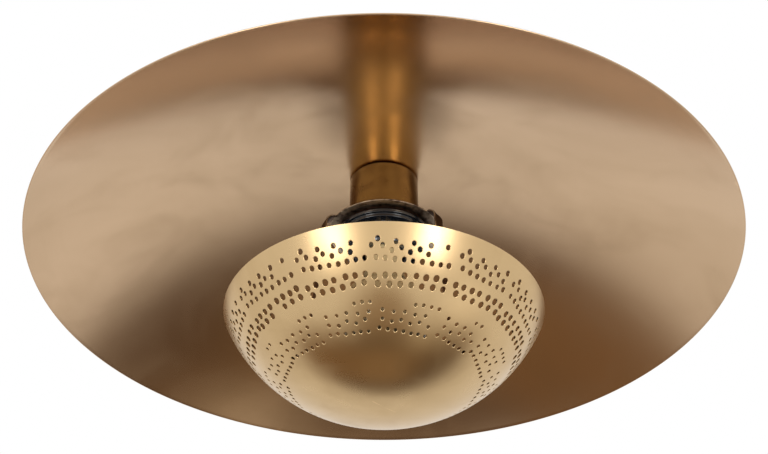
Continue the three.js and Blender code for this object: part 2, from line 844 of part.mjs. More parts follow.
function mainsWire(pole, side) {
  const y = side * wireSpread;
  const terminalFace = side * (terminalOffset - terminalLength / 2 - 2 * SEAT);
  const entry = terminalTop - terminalHeight / 2;
  return wire([
    [wireExit, pole, wireLevel],
    [wireExit - wireLead, pole, wireLevel],
    [rodRadius + wireRadius, (pole + y) / 2, overRod],
    [wireSpread, y, overRod + wireSpread],
    [0, y, rodTop + wireEase],
    [0, y, rodTop - wireEase],
    [0, y, (rodTop + rodBottom) / 2],
    [0, y, rodBottom],
    [0, y, rodBottom - wireEase],
    [0, y + side * wireRadius, terminalTop + wireRadius],
    [0, terminalFace - side * wireRadius, entry],
    [0, terminalFace, entry],
  ], mainsWireSteps);
}

function earthWire() {
  const lugEnd = lugTail - lugTailWidth / 2;
  return wire([
    [wireExit, polePitch, wireLevel],
    [wireExit - wireLead, polePitch + wireRadius, wireLevel],
    [0, earthBow, wireLevel],
    [-lugOffset + wireLead, lugEnd + wireRadius, wireLevel],
    [-lugOffset, lugEnd, wireLevel - wireRadius],
    [-lugOffset, lugEnd, lugTop + SEAT],
  ], earthWireSteps);
}

add('ceiling_strap', ceilingStrap(), ZINC);
add('crossbar', crossbar(), ZINC);
add('side_screw_right', sideScrew(1), ZINC);
add('side_screw_left', sideScrew(-1), ZINC);
add('hollow_rod', tube(rodRadius, rodBore, rodBottom, rodTop, ROD_FLATS), ZINC);
add('upper_nut', hexNut(upperNutBottom), ZINC);
add('lower_nut', hexNut(lowerNutBottom), ZINC);
add(
  'dish_washer',
  tube(washerRadius, rodRadius + SEAT, washerBottom, washerBottom + washerThickness, ROD_FLATS),
  ZINC,
);
add('dish', dish(), BRASS);
add('cup', cup(), BRASS);
add(
  'lock_washer',
  tube(
    lockWasherRadius,
    rodRadius + SEAT,
    lockWasherBottom,
    lockWasherBottom + lockWasherThickness,
    ROD_FLATS,
  ),
  ZINC,
);
add('lock_nut', hexNut(lockNutBottom), ZINC);
add('terminal_block', terminalBlock(), BLOCK_PLASTIC);
clampPlaces.forEach((at, i) => add(`clamp_screw_${i + 1}`, clampScrew(at), ZINC));
add(
  'block_screw',
  screw(
    blockScrewRadius,
    blockScrewLength,
    blockScrewHeadRadius,
    blockScrewHead,
    blockOffset,
    -polePitch / 2,
    blockBottom + webHeight + SEAT,
  ),
  ZINC,
);
add('earth_lug', earthLug(), BRASS);
add(
  'earth_screw',
  screw(
    earthScrewRadius,
    earthScrewLength,
    earthScrewHeadRadius,
    earthScrewHead,
    -lugOffset,
    0,
    lugTop + SEAT,
  ),
  BRASS,
);
add('live_wire', mainsWire(-polePitch, -1), BROWN_WIRE);
add('neutral_wire', mainsWire(0, 1), BLUE_WIRE);
add('earth_wire', earthWire(), GREEN_WIRE);
add('socket_cap', socketCap(), BAKELITE);
add('socket_mantle', socketMantle(), BAKELITE);
add('socket_insert', socketInsert(), CERAMIC);
add('thread_shell', threadShell(), POLISHED_BRASS);
add('centre_contact', centreContact(), POLISHED_BRASS);
add('live_terminal', terminal(-1), POLISHED_BRASS);
add('neutral_terminal', terminal(1), POLISHED_BRASS);
add('live_terminal_screw', terminalScrew(-1), POLISHED_BRASS);
add('neutral_terminal_screw', terminalScrew(1), POLISHED_BRASS);
add('spider', spider(), DARK_STEEL);
add(
  'ring_washer',
  tube(linerRadius, mantleRadius + RUN, linerTop - linerThickness, linerTop, CUP_FLATS),
  FIBRE,
);
add('shade_ring', shadeRing(), BAKELITE);
add('bowl', bowl(), POLISHED_BRASS);
add('bulb_tip', rod(tipRadius, tipBottom, bulbTop), ZINC);
add('cap_insulator', rod(insulatorRadius, insulatorBottom, insulatorTop, BULB_FLATS), BLACK_GLASS);
add('bulb_cap', bulbCap(), ZINC);
add('bulb_glass', bulbGlass(), OPAL);
add('bulb_stem', bulbStem(), CLEAR_GLASS);
add('filament', filament(), TUNGSTEN);

export default lamp;
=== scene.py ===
"""Looks of a ceiling lamp: a wide satin brass dish over a perforated brass bowl.

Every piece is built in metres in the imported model's frame, +Z up, with the origin at the middle of the
ceiling strap's top face. Each sub-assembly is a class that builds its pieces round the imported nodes.
"""

import logging
import math
import random
from dataclasses import dataclass, field
from enum import Enum
from typing import Callable, Sequence

import bmesh
import bpy
from mathutils import Matrix, Vector
from mathutils.geometry import delaunay_2d_cdt

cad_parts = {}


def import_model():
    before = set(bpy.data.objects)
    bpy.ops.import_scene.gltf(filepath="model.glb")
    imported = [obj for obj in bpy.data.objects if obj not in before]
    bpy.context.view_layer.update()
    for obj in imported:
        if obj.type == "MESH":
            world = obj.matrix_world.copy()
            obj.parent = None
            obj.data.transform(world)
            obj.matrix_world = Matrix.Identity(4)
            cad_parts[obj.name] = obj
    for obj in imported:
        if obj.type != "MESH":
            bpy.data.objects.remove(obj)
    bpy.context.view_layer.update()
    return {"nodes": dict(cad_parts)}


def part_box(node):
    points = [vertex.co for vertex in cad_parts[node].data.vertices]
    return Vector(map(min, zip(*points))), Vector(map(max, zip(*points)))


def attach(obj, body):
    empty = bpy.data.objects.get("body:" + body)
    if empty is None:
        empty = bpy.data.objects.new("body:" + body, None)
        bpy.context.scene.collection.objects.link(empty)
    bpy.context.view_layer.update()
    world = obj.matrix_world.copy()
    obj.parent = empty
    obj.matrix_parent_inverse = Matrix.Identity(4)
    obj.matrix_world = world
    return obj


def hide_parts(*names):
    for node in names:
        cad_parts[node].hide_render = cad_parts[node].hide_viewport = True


MM = 0.001
TURN = 2 * math.pi
WELD = 1e-7  # distance at which two points become one
HULL_TRIANGLES, INNER_TRIANGLES = 0, 2  # what a triangulation gives
SHARP_FROM = 35.0  # degrees between two faces from which their edge stays sharp
STRAIGHT_FROM = 165.0  # degrees at a corner from which it gets no round
ROD_HOLE = 5.3 * MM  # radius of a hole that the hollow rod passes
RING_HOLE = 20.5 * MM  # radius of a hole that the socket's mantle passes
EARTH_X = -15 * MM  # place of the earth screw and its lug
RING_PITCH = 2 * MM
BULB_PITCH = 3.63 * MM
LOG = logging.getLogger("ceiling_lamp")

Color = tuple[float, float, float]
Pair = tuple[float, float]
Outputs = bpy.types.NodeOutputs
Socket = bpy.types.NodeSocket
Tree = bpy.types.NodeTree


# Shader nodes


def node(tree: Tree, kind: str, inputs: dict | None = None, **settings: object) -> bpy.types.Node:
    """Adds a shader node.

    Args:
        tree: Node tree to add to.
        kind: Node type name.
        inputs: Value or source socket for each input, by name or number.
        **settings: Node properties.

    Returns:
        The new node.
    """
    made = tree.nodes.new(kind)
    for key, value in settings.items():
        setattr(made, key, value)
    for key, value in (inputs or {}).items():
        if isinstance(value, Socket):
            tree.links.new(value, made.inputs[key])
        else:
            made.inputs[key].default_value = value
    return made


def calc(tree: Tree, operation: str, *values: float | Socket) -> Socket:
    """Adds a math node for numbers or sockets and gives its result."""
    return node(tree, "ShaderNodeMath", dict(enumerate(values)), operation=operation).outputs[0]


def vector_math(tree: Tree, operation: str, *values: Sequence[float] | Socket) -> Socket:
    """Adds a vector math node for vectors or sockets and gives its result."""
    made = node(tree, "ShaderNodeVectorMath", dict(enumerate(values)), operation=operation)
    return made.outputs["Value" if operation in ("LENGTH", "DOT_PRODUCT") else "Vector"]


def noise(tree: Tree, vector: Socket, output: str = "Fac", **inputs: float) -> Socket:
    """Adds a noise texture, as fine as its vector is scaled, and gives an output."""
    return node(tree, "ShaderNodeTexNoise", {"Vector": vector, "Scale": 1.0, **inputs}).outputs[output]


def ramp(tree: Tree, value: Socket, low: float | Socket, high: float | Socket) -> Socket:
    """Maps a value smoothly from low..high to 0..1.

    Args:
        tree: Node tree to add to.
        value: Socket of the value.
        low: Value that gives 0.
        high: Value that gives 1.

    Returns:
        The result's socket.
    """
    inputs = {"Value": value, "From Min": low, "From Max": high}
    made = node(tree, "ShaderNodeMapRange", inputs, interpolation_type="SMOOTHSTEP")
    return made.outputs["Result"]


def blend(tree: Tree, share: float | Socket, first: Socket | Color, second: Socket | Color) -> Socket:
    """Mixes two colours.

    Args:
        tree: Node tree to add to.
        share: Share of the second colour.
        first: First colour.
        second: Second colour.

    Returns:
        The mixed colour's socket.
    """
    made = node(tree, "ShaderNodeMix", {0: share}, data_type="RGBA")
    for socket, color in ((made.inputs[6], first), (made.inputs[7], second)):
        if isinstance(color, Socket):
            tree.links.new(color, socket)
        else:
            socket.default_value = (*color, 1)
    return made.outputs[2]


def swing(tree: Tree, base: float | Socket, value: Socket, amount: float) -> Socket:
    """Lets a value round 0.5 move a base up and down by half an amount, so that it stays the mean."""
    return calc(tree, "MULTIPLY_ADD", value, amount, calc(tree, "SUBTRACT", base, amount / 2))


def eye_or_mirror(tree: Tree) -> Socket:
    """A value that is 1 for rays from the camera, off a glossy surface or through glass, else 0."""
    path = node(tree, "ShaderNodeLightPath").outputs
    seen = calc(tree, "MAXIMUM", path["Is Camera Ray"], path["Is Glossy Ray"])
    return calc(tree, "MAXIMUM", seen, path["Is Transmission Ray"])


class Effect(Enum):
    """Surface effects that materials share, each a node group."""

    PATINA = "cloudy_patina"
    SPUN = "spun_lines"
    FRECKLES = "dark_freckles"
    SMEARS = "soft_smears"
    WEAR = "edge_wear"
    GRAIN = "fine_grain"
    INSIDE = "inner_face"


def scaled_place(group: Tree, scale: Socket, shift: float = 0.0) -> Socket:
    """Object coordinates times a scale per metre, after a shift that makes a pattern differ from others."""
    place = node(group, "ShaderNodeTexCoord").outputs["Object"]
    moved = vector_math(group, "ADD", place, (shift, shift, shift))
    return node(group, "ShaderNodeVectorMath", {0: moved, "Scale": scale}, operation="SCALE").outputs[0]


# Each of the next functions adds an effect's nodes to its group. It takes the group and its inputs, and
# gives its outputs by name.


def patina_nodes(group: Tree, given: Outputs) -> dict[str, Socket]:
    """Clouds of tarnish: a mask from bare metal, 0, to tarnished, 1."""
    cloud = noise(group, scaled_place(group, given["Scale"]), Detail=4.0, Roughness=0.5, Distortion=0.7)
    return {"Mask": ramp(group, cloud, given["Low"], given["High"])}


def spun_nodes(group: Tree, given: Outputs) -> dict[str, Socket]:
    """Fine lines and slow waves round the Z axis, as a lathe leaves them: two heights, 0 to 1."""
    place = node(group, "ShaderNodeTexCoord").outputs["Object"]
    parts = node(group, "ShaderNodeSeparateXYZ", {0: place}).outputs
    squares = [calc(group, "MULTIPLY", parts[i], parts[i]) for i in (0, 1)]
    reach = calc(group, "SQRT", calc(group, "ADD", *squares))
    safe = calc(group, "MAXIMUM", reach, 1e-4)
    turns = [calc(group, "MULTIPLY", calc(group, "DIVIDE", parts[i], safe), given["Break"]) for i in (0, 1)]
    made = {}
    for name, share in (("Lines", 1.0), ("Waves", 0.04)):
        density = calc(group, "MULTIPLY", given["Density"], share)
        across, along = (calc(group, "MULTIPLY", part, density) for part in (reach, parts[2]))
        vector = node(group, "ShaderNodeCombineXYZ", {0: across, 1: along, 2: turns[0]}).outputs[0]
        inputs = {"Vector": vector, "W": turns[1], "Scale": 1.0, "Detail": 2.0, "Roughness": 0.7}
        lines = node(group, "ShaderNodeTexNoise", inputs, noise_dimensions="4D").outputs["Fac"]
        made[name] = ramp(group, lines, 0.2, 0.8)
    return made


def freckles_nodes(group: Tree, given: Outputs) -> dict[str, Socket]:
    """Small dark spots, scattered: a mask, 1 on a spot."""
    vector = scaled_place(group, given["Scale"])
    bend = noise(group, vector, "Color", Scale=2.5, Detail=2.0)
    mixed = node(group, "ShaderNodeMix", {0: 0.12, 4: vector, 5: bend}, data_type="VECTOR").outputs[1]
    cells = node(group, "ShaderNodeTexVoronoi", {"Vector": mixed, "Scale": 1.0}).outputs
    chance = node(group, "ShaderNodeSeparateXYZ", {0: cells["Color"]}).outputs
    chosen = calc(group, "LESS_THAN", chance[0], given["Share"])
    size = calc(group, "MULTIPLY", chance[1], given["Size"])
    spot = ramp(group, cells["Distance"], size, calc(group, "MULTIPLY", size, 0.4))
    return {"Mask": calc(group, "MULTIPLY", spot, chosen)}


def smears_nodes(group: Tree, given: Outputs) -> dict[str, Socket]:
    """Soft smears of handling, longer than wide: a mask."""
    vector = scaled_place(group, given["Scale"], shift=3.7)
    stretch = node(group, "ShaderNodeCombineXYZ", {0: 1.0, 1: 1.0, 2: given["Stretch"]}).outputs[0]
    long = vector_math(group, "MULTIPLY", vector, stretch)
    smear = noise(group, long, Detail=3.0, Roughness=0.5, Distortion=1.0)
    return {"Mask": ramp(group, smear, 0.45, 0.75)}


def wear_nodes(group: Tree, given: Outputs) -> dict[str, Socket]:
    """Edges rubbed bright: a mask, 1 on a worn edge; on the browned steel it also places a painted
    highlight.
    """
    point = node(group, "ShaderNodeNewGeometry").outputs["Pointiness"]
    edge = ramp(group, point, given["Start"], given["Full"])
    broken = ramp(group, noise(group, scaled_place(group, given["Scale"]), Detail=4.0), 0.3, 0.6)
    return {"Mask": calc(group, "MULTIPLY", edge, broken)}


def grain_nodes(group: Tree, given: Outputs) -> dict[str, Socket]:
    """Fine even grain: a value round 0.5."""
    return {"Value": noise(group, scaled_place(group, given["Scale"]), Detail=5.0)}


def inside_nodes(group: Tree, given: Outputs) -> dict[str, Socket]:
    """Inner face of a bowl round a middle on the Z axis: a mask, 1 where the surface faces it."""
    place = node(group, "ShaderNodeTexCoord").outputs
    middle = node(group, "ShaderNodeCombineXYZ", {2: given["Middle"]}).outputs[0]
    away = vector_math(group, "NORMALIZE", vector_math(group, "SUBTRACT", place["Object"], middle))
    facing = vector_math(group, "DOT_PRODUCT", away, place["Normal"])
    return {"Mask": ramp(group, facing, -0.3, -0.6)}


EFFECTS: dict[Effect, tuple[Callable[[Tree, Outputs], dict[str, Socket]], dict[str, float]]] = {
    Effect.PATINA: (patina_nodes, {"Scale": 10.0, "Low": 0.4, "High": 0.65}),
    Effect.SPUN: (spun_nodes, {"Density": 1500.0, "Break": 1.5}),
    Effect.FRECKLES: (freckles_nodes, {"Scale": 60.0, "Share": 0.1, "Size": 0.25}),
    Effect.SMEARS: (smears_nodes, {"Scale": 12.0, "Stretch": 0.3}),
    Effect.WEAR: (wear_nodes, {"Start": 0.52, "Full": 0.6, "Scale": 300.0}),
    Effect.GRAIN: (grain_nodes, {"Scale": 2000.0}),
    Effect.INSIDE: (inside_nodes, {"Middle": 0.0}),
}


def group_of(kind: Effect) -> Tree:
    """An effect's node group, made on first use."""
    group = bpy.data.node_groups.get(kind.value)
    if group is None:
        build, inputs = EFFECTS[kind]
        group = bpy.data.node_groups.new(kind.value, "ShaderNodeTree")
        start, end = group.nodes.new("NodeGroupInput"), group.nodes.new("NodeGroupOutput")
        for name, value in inputs.items():
            made = group.interface.new_socket(name, in_out="INPUT", socket_type="NodeSocketFloat")
            made.default_value = value
        for name, result in build(group, start.outputs).items():
            group.interface.new_socket(name, in_out="OUTPUT", socket_type="NodeSocketFloat")
            group.links.new(result, end.inputs[name])
    return group


def effect(tree: Tree, kind: Effect, **values: float) -> Outputs:
    """Places a shared effect in a material.

    Args:
        tree: The material's node tree.
        kind: Effect to place.
        **values: Its inputs by name.

    Returns:
        The effect's outputs.
    """
    return node(tree, "ShaderNodeGroup", values, node_tree=group_of(kind)).outputs


# Finishes


@dataclass(frozen=True)
class Finish:
    """What every finish has.

    Attributes:
        name: The material's name.
        slot: The record's material slot; not used.
        color: Base colour, linear.
        roughness: Roughness where the surface is clean.
    """

    name: str
    slot: str
    color: Color
    roughness: float

    def dress(self, tree: Tree, shader: bpy.types.Node) -> None:
        """Adds the finish's nodes.

        Args:
            tree: The material's node tree.
            shader: Its Principled BSDF.
        """
        raise NotImplementedError

    def connect(self, tree: Tree, shader: bpy.types.Node, *results: Socket) -> None:
        """Links what the nodes give to the shader.

        Args:
            tree: The material's node tree.
            shader: Its Principled BSDF.
            *results: The colour, the roughness and, if the surface has one, its height in metres.
        """
        tree.links.new(results[0], shader.inputs["Base Color"])
        tree.links.new(results[1], shader.inputs["Roughness"])
        for height in results[2:]:
            bump = node(tree, "ShaderNodeBump", {"Height": height, "Strength": 1.0, "Distance": 1.0})
            tree.links.new(bump.outputs["Normal"], shader.inputs["Normal"])

    def material(self) -> bpy.types.Material:
        """The finish's material, made on first use."""
        made = bpy.data.materials.get(self.name)
        if made is None:
            made = bpy.data.materials.new(self.name)
            made.use_nodes = True
            shader = made.node_tree.nodes["Principled BSDF"]
            shader.inputs["Base Color"].default_value = (*self.color, 1)
            shader.inputs["Roughness"].default_value = self.roughness
            made.diffuse_color = (*self.color, 1)
            self.dress(made.node_tree, shader)
        return made


@dataclass(frozen=True)
class Brass(Finish):
    """Spun brass with tarnish clouds, smears, freckles and lathe lines, and painted shade on a bowl's inner
    face.

    Attributes:
        dark: Colour of the tarnish.
        spots: Colour of the freckles.
        clouds: Share of tarnish in the clouds.
        cloud_scale: Scale of the clouds, per metre.
        smears: How much the smears add to the roughness.
        freckles: Share of cells with a freckle.
        line_depth: Depth of the lathe lines in metres.
        wave_depth: Depth of the slow waves in metres.
        spun: How far the highlights stretch across the lathe lines, 0 to 1.
        inside: Height of the middle of the bowl's sphere, if its inner face gets painted shade.
        browned: Colours of the painted shade on the inner face, light and dark.
        cloud_range: Values of the clouds' noise that give no tarnish and full tarnish.
        wear_range: Sharpness of an edge at which its wear starts and is full.
        smudge: Share of tarnish in a smear.
        streaks: How much the lathe lines change the share of tarnish.
        spot_share: Share of a freckle's colour in it.
        rub: Share of bright metal on a worn edge.
        shine: How much brighter than the colour that metal is.
        graininess: How much the grain changes the roughness.
    """

    dark: Color = (0.30, 0.18, 0.09)
    spots: Color = (0.10, 0.055, 0.03)
    clouds: float = 0.4
    cloud_scale: float = 9.0
    smears: float = 0.1
    freckles: float = 0.06
    line_depth: float = 3e-6
    wave_depth: float = 2e-5
    spun: float = 0.0
    inside: float | None = None
    # Painted shade for a bowl's inner face, near black.
    browned: tuple[Color, Color] = ((0.030, 0.015, 0.008), (0.018, 0.010, 0.006))
    cloud_range: Pair = (0.32, 0.72)
    wear_range: Pair = (0.56, 0.66)
    smudge: float = 0.12
    streaks: float = 0.05
    spot_share: float = 0.6
    rub: float = 0.6
    shine: float = 1.25
    graininess: float = 0.02

    def dress(self, tree: Tree, shader: bpy.types.Node) -> None:
        """Adds the brass nodes; see Finish.dress."""
        (low, high), (start, full) = self.cloud_range, self.wear_range
        cloud = effect(tree, Effect.PATINA, Scale=self.cloud_scale, Low=low, High=high)["Mask"]
        smear = effect(tree, Effect.SMEARS, Scale=self.cloud_scale * 1.8)["Mask"]
        spot = effect(tree, Effect.FRECKLES, Scale=55.0, Share=self.freckles, Size=0.3)["Mask"]
        wear = effect(tree, Effect.WEAR, Start=start, Full=full)["Mask"]
        grain = effect(tree, Effect.GRAIN, Scale=700.0)["Value"]
        spun = effect(tree, Effect.SPUN)
        share = calc(tree, "MULTIPLY_ADD", cloud, self.clouds, swing(tree, 0.0, spun["Lines"], self.streaks))
        share = calc(tree, "MULTIPLY_ADD", smear, self.smudge, share)
        color = blend(tree, calc(tree, "MAXIMUM", share, 0.0), self.color, self.dark)
        color = blend(tree, calc(tree, "MULTIPLY", spot, self.spot_share), color, self.spots)
        bright = tuple(min(1.0, c * self.shine) for c in self.color)
        color = blend(tree, calc(tree, "MULTIPLY", wear, self.rub), color, bright)
        rough = calc(tree, "MULTIPLY_ADD", smear, self.smears, self.roughness)
        rough = calc(tree, "MULTIPLY_ADD", cloud, self.smears * 0.6, rough)
        rough = swing(tree, rough, grain, self.graininess)
        rough = calc(tree, "MULTIPLY_ADD", spot, 0.2, rough)
        # Painted shade: a bowl's inner face, seen through the holes, gets near-black colours for the shade
        # inside it.
        if self.inside:
            within = effect(tree, Effect.INSIDE, Middle=self.inside)["Mask"]
            color = blend(tree, within, color, blend(tree, cloud, *self.browned))
            rough = calc(tree, "MULTIPLY_ADD", within, 0.25, rough)
        height = calc(tree, "MULTIPLY", spun["Lines"], self.line_depth)
        height = calc(tree, "MULTIPLY_ADD", spun["Waves"], self.wave_depth, height)
        self.connect(tree, shader, color, rough, height)
        shader.inputs["Metallic"].default_value = 1.0
        if self.spun:
            shader.inputs["Anisotropic"].default_value = self.spun
            tangent = node(tree, "ShaderNodeTangent", direction_type="RADIAL", axis="Z").outputs[0]
            tree.links.new(tangent, shader.inputs["Tangent"])


@dataclass(frozen=True)
class Steel(Finish):
    """Plated or browned steel with handling marks, worn bright at the edges; on the browned steel the bright
    edges are also a painted highlight.

    Attributes:
        dark: Colour of the stains.
        bright: Colour of a worn edge, on the browned steel also a painted highlight.
        stains: Share of stains in the colour.
        rub: Share of bright metal on the edges.
        smears: How much the smears add to the roughness.
        graininess: How much the grain changes the roughness.
        texture: Depth of the grain in metres.
    """

    dark: Color = (0.30, 0.29, 0.27)
    bright: Color = (0.75, 0.75, 0.74)
    stains: float = 0.5
    rub: float = 0.6
    smears: float = 0.15
    graininess: float = 0.12
    texture: float = 4e-6

    def dress(self, tree: Tree, shader: bpy.types.Node) -> None:
        """Adds the steel nodes; see Finish.dress."""
        cloud = effect(tree, Effect.PATINA, Scale=60.0)["Mask"]
        grain = effect(tree, Effect.GRAIN, Scale=900.0)["Value"]
        smear = effect(tree, Effect.SMEARS, Scale=90.0, Stretch=0.2)["Mask"]
        wear = effect(tree, Effect.WEAR, Start=0.51, Full=0.57)["Mask"]
        color = blend(tree, calc(tree, "MULTIPLY", cloud, self.stains), self.color, self.dark)
        # Worn edges; on the browned steel also a painted highlight where the rim catches light.
        color = blend(tree, calc(tree, "MULTIPLY", wear, self.rub), color, self.bright)
        rough = calc(tree, "MULTIPLY_ADD", smear, self.smears, self.roughness)
        rough = swing(tree, rough, grain, self.graininess)
        self.connect(tree, shader, color, rough, calc(tree, "MULTIPLY", grain, self.texture))
        shader.inputs["Metallic"].default_value = 1.0


@dataclass(frozen=True)
class Moulded(Finish):
    """Moulded plastic, ceramic, fibre or insulation.

    Attributes:
        dust: Colour of the dust and scuffs.
        dusty: Share of dust.
        coat: Weight of a clear coat.
        texture: Depth of the surface's grain in metres.
        grain: Scale of that grain, per metre.
        speckle: How much the grain changes the share of dust.
        smears: How much the smears add to the roughness.
        dullness: How much the dust adds to it.
    """

    dust: Color = (0.30, 0.27, 0.23)
    dusty: float = 0.15
    coat: float = 0.0
    texture: float = 3e-6
    grain: float = 1500.0
    speckle: float = 0.3
    smears: float = 0.12
    dullness: float = 0.08

    def dress(self, tree: Tree, shader: bpy.types.Node) -> None:
        """Adds the moulded nodes; see Finish.dress."""
        cloud = effect(tree, Effect.PATINA, Scale=80.0, Low=0.45, High=0.75)["Mask"]
        grain = effect(tree, Effect.GRAIN, Scale=self.grain)["Value"]
        smear = effect(tree, Effect.SMEARS, Scale=70.0)["Mask"]
        wear = effect(tree, Effect.WEAR)["Mask"]
        speckles = swing(tree, 0.0, grain, self.speckle)
        share = calc(tree, "MAXIMUM", calc(tree, "MULTIPLY_ADD", cloud, self.dusty, speckles), 0.0)
        color = blend(tree, share, self.color, self.dust)
        color = blend(tree, calc(tree, "MULTIPLY", wear, self.dusty), color, self.dust)
        rough = calc(tree, "MULTIPLY_ADD", smear, self.smears, self.roughness)
        rough = calc(tree, "MULTIPLY_ADD", cloud, self.dullness, rough)
        self.connect(tree, shader, color, rough, calc(tree, "MULTIPLY", grain, self.texture))
        if self.coat:
            shader.inputs["Coat Weight"].default_value = self.coat
            shader.inputs["Coat Roughness"].default_value = 0.03


@dataclass(frozen=True)
class Glass(Finish):
    """Clear glass, or white opal glass where clear is 0.

    Attributes:
        clear: Transmission weight.
        haze: Share of the colour that is left where the glass is hazy.
        smears: How much the smears add to the roughness.
    """

    clear: float = 1.0
    haze: float = 0.93
    smears: float = 0.06

    def dress(self, tree: Tree, shader: bpy.types.Node) -> None:
        """Adds the glass nodes; see Finish.dress."""
        smear = effect(tree, Effect.SMEARS, Scale=30.0)["Mask"]
        cloud = effect(tree, Effect.PATINA, Scale=25.0)["Mask"]
        shade = tuple(self.haze * c for c in self.color)
        rough = calc(tree, "MULTIPLY_ADD", smear, self.smears, self.roughness)
        self.connect(tree, shader, blend(tree, cloud, self.color, shade), rough)
        shader.inputs["Transmission Weight"].default_value = self.clear
        if not self.clear:
            shader.inputs["Coat Weight"].default_value = 0.6
            shader.inputs["Coat Roughness"].default_value = 0.04


DISH_BRASS = Brass(
    "dish_brass", "satin_brass", (0.62, 0.435, 0.275), 0.19, dark=(0.42, 0.28, 0.15), clouds=0.28,
    smears=0.05, freckles=0.012, line_depth=1.2e-6, wave_depth=1.4e-5, spun=0.6,
)
# The cup's colours are about half as bright as the dish's brass: painted shade for the darker surroundings
# that the cup mirrors. Its clouds are tarnish.
SHADED_CUP_BRASS = Brass(
    "shaded_cup_brass", "satin_brass", (0.315, 0.196, 0.07), 0.17, dark=(0.17, 0.09, 0.035), clouds=0.5,
    cloud_scale=60.0, line_depth=6e-6, wave_depth=4e-6,
)
BOWL_BRASS = Brass(
    "bowl_brass", "polished_brass", (0.64, 0.45, 0.235), 0.27, dark=(0.48, 0.32, 0.15), clouds=0.3,
    cloud_scale=22.0, freckles=0.03, smears=0.05, line_depth=1.5e-6, wave_depth=6e-6, inside=-0.09639,
)
CONTACT_BRASS = Brass(
    "contact_brass", "polished_brass", (0.75, 0.57, 0.30), 0.25, cloud_scale=120.0, wave_depth=0.0
)
ZINC = Steel("zinc_plate", "zinc_steel", (0.56, 0.56, 0.55), 0.33)
# The browned steel's edges turn pale peach at nearly full strength: wear, and a painted highlight of the rim
# catching light.
BROWNED = Steel(
    "browned_steel", "dark_steel", (0.20, 0.13, 0.095), 0.36, dark=(0.08, 0.05, 0.04),
    bright=(0.85, 0.68, 0.48), rub=0.9,
)
TUNGSTEN = Steel("tungsten_wire", "tungsten", (0.35, 0.35, 0.36), 0.4)
BAKELITE = Moulded(
    "black_bakelite", "bakelite", (0.006, 0.008, 0.012), 0.14, dust=(0.05, 0.05, 0.055), dusty=0.06,
    coat=1.0, texture=1e-7,
)
FIBRE = Moulded("red_fibre", "fibre", (0.14, 0.045, 0.03), 0.75, texture=2e-5, grain=500.0)
CERAMIC = Moulded("glazed_ceramic", "white_ceramic", (0.75, 0.72, 0.65), 0.35, coat=0.3)
VITRITE = Moulded("black_vitrite", "black_glass", (0.01, 0.01, 0.012), 0.12, dusty=0.03, coat=1.0)
BLOCK = Moulded("moulded_block", "block_plastic", (0.74, 0.72, 0.65), 0.45, texture=6e-6)
BROWN = Moulded("brown_insulation", "brown_wire", (0.12, 0.05, 0.025), 0.5)
BLUE = Moulded("blue_insulation", "blue_wire", (0.04, 0.11, 0.32), 0.5)
GREEN = Moulded(
    "green_insulation", "green_wire", (0.12, 0.33, 0.06), 0.5, dust=(0.75, 0.65, 0.05), dusty=0.5
)
# The opal glass gets a deep warm yellow: its own ivory plus painted warm light from the brass round it.
OPAL = Glass("opal_with_painted_warm_light", "opal_glass", (0.88, 0.66, 0.34), 0.16, clear=0.0)
CLEAR = Glass("stem_glass", "clear_glass", (0.95, 0.97, 0.97), 0.03)


# Meshes


def placed(name: str, data: bpy.types.ID) -> bpy.types.Object:
    """Makes an object of a mesh, a light or a camera and puts it in the scene."""
    made = bpy.data.objects.new(name, data)
    bpy.context.scene.collection.objects.link(made)
    return made


def polar(radius: float, angle: float, height: float) -> Vector:
    """Point at a distance from the Z axis."""
    return Vector((radius * math.cos(angle), radius * math.sin(angle), height))


@dataclass
class Shape:
    """Points and faces of a mesh in the making."""

    points: list[Vector] = field(default_factory=list)
    faces: list[tuple[int, ...]] = field(default_factory=list)

    def add(self, other: "Shape", place: Matrix | None = None) -> "Shape":
        """Takes in a copy of another shape.

        Args:
            other: Shape to take in.
            place: Where to put it.

        Returns:
            This shape.
        """
        start = len(self.points)
        self.points += [place @ p if place else p.copy() for p in other.points]
        self.faces += [tuple(start + i for i in face) for face in other.faces]
        return self

    def mesh(self, name: str, sharp: float = SHARP_FROM) -> bpy.types.Mesh:
        """Makes the mesh, welded and smooth.

        Args:
            name: The mesh's name.
            sharp: Angle in degrees from which an edge stays sharp.

        Returns:
            The mesh.
        """
        made = bpy.data.meshes.new(name)
        made.from_pydata(self.points, [], self.faces)
        work = bmesh.new()
        work.from_mesh(made)
        bmesh.ops.remove_doubles(work, verts=work.verts, dist=WELD)
        bmesh.ops.dissolve_degenerate(work, edges=work.edges, dist=WELD / 10)
        bmesh.ops.recalc_face_normals(work, faces=work.faces)
        smooth(work, sharp)
        work.to_mesh(made)
        work.free()
        return made


def smooth(work: bmesh.types.BMesh, sharp: float) -> None:
    """Shades a mesh smooth, with sharp edges from an angle on.

    Args:
        work: Mesh to shade.
        sharp: The angle in degrees.
    """
    for face in work.faces:
        face.smooth = True
    for edge in work.edges:
        edge.smooth = edge.calc_face_angle(0.0) < math.radians(sharp)


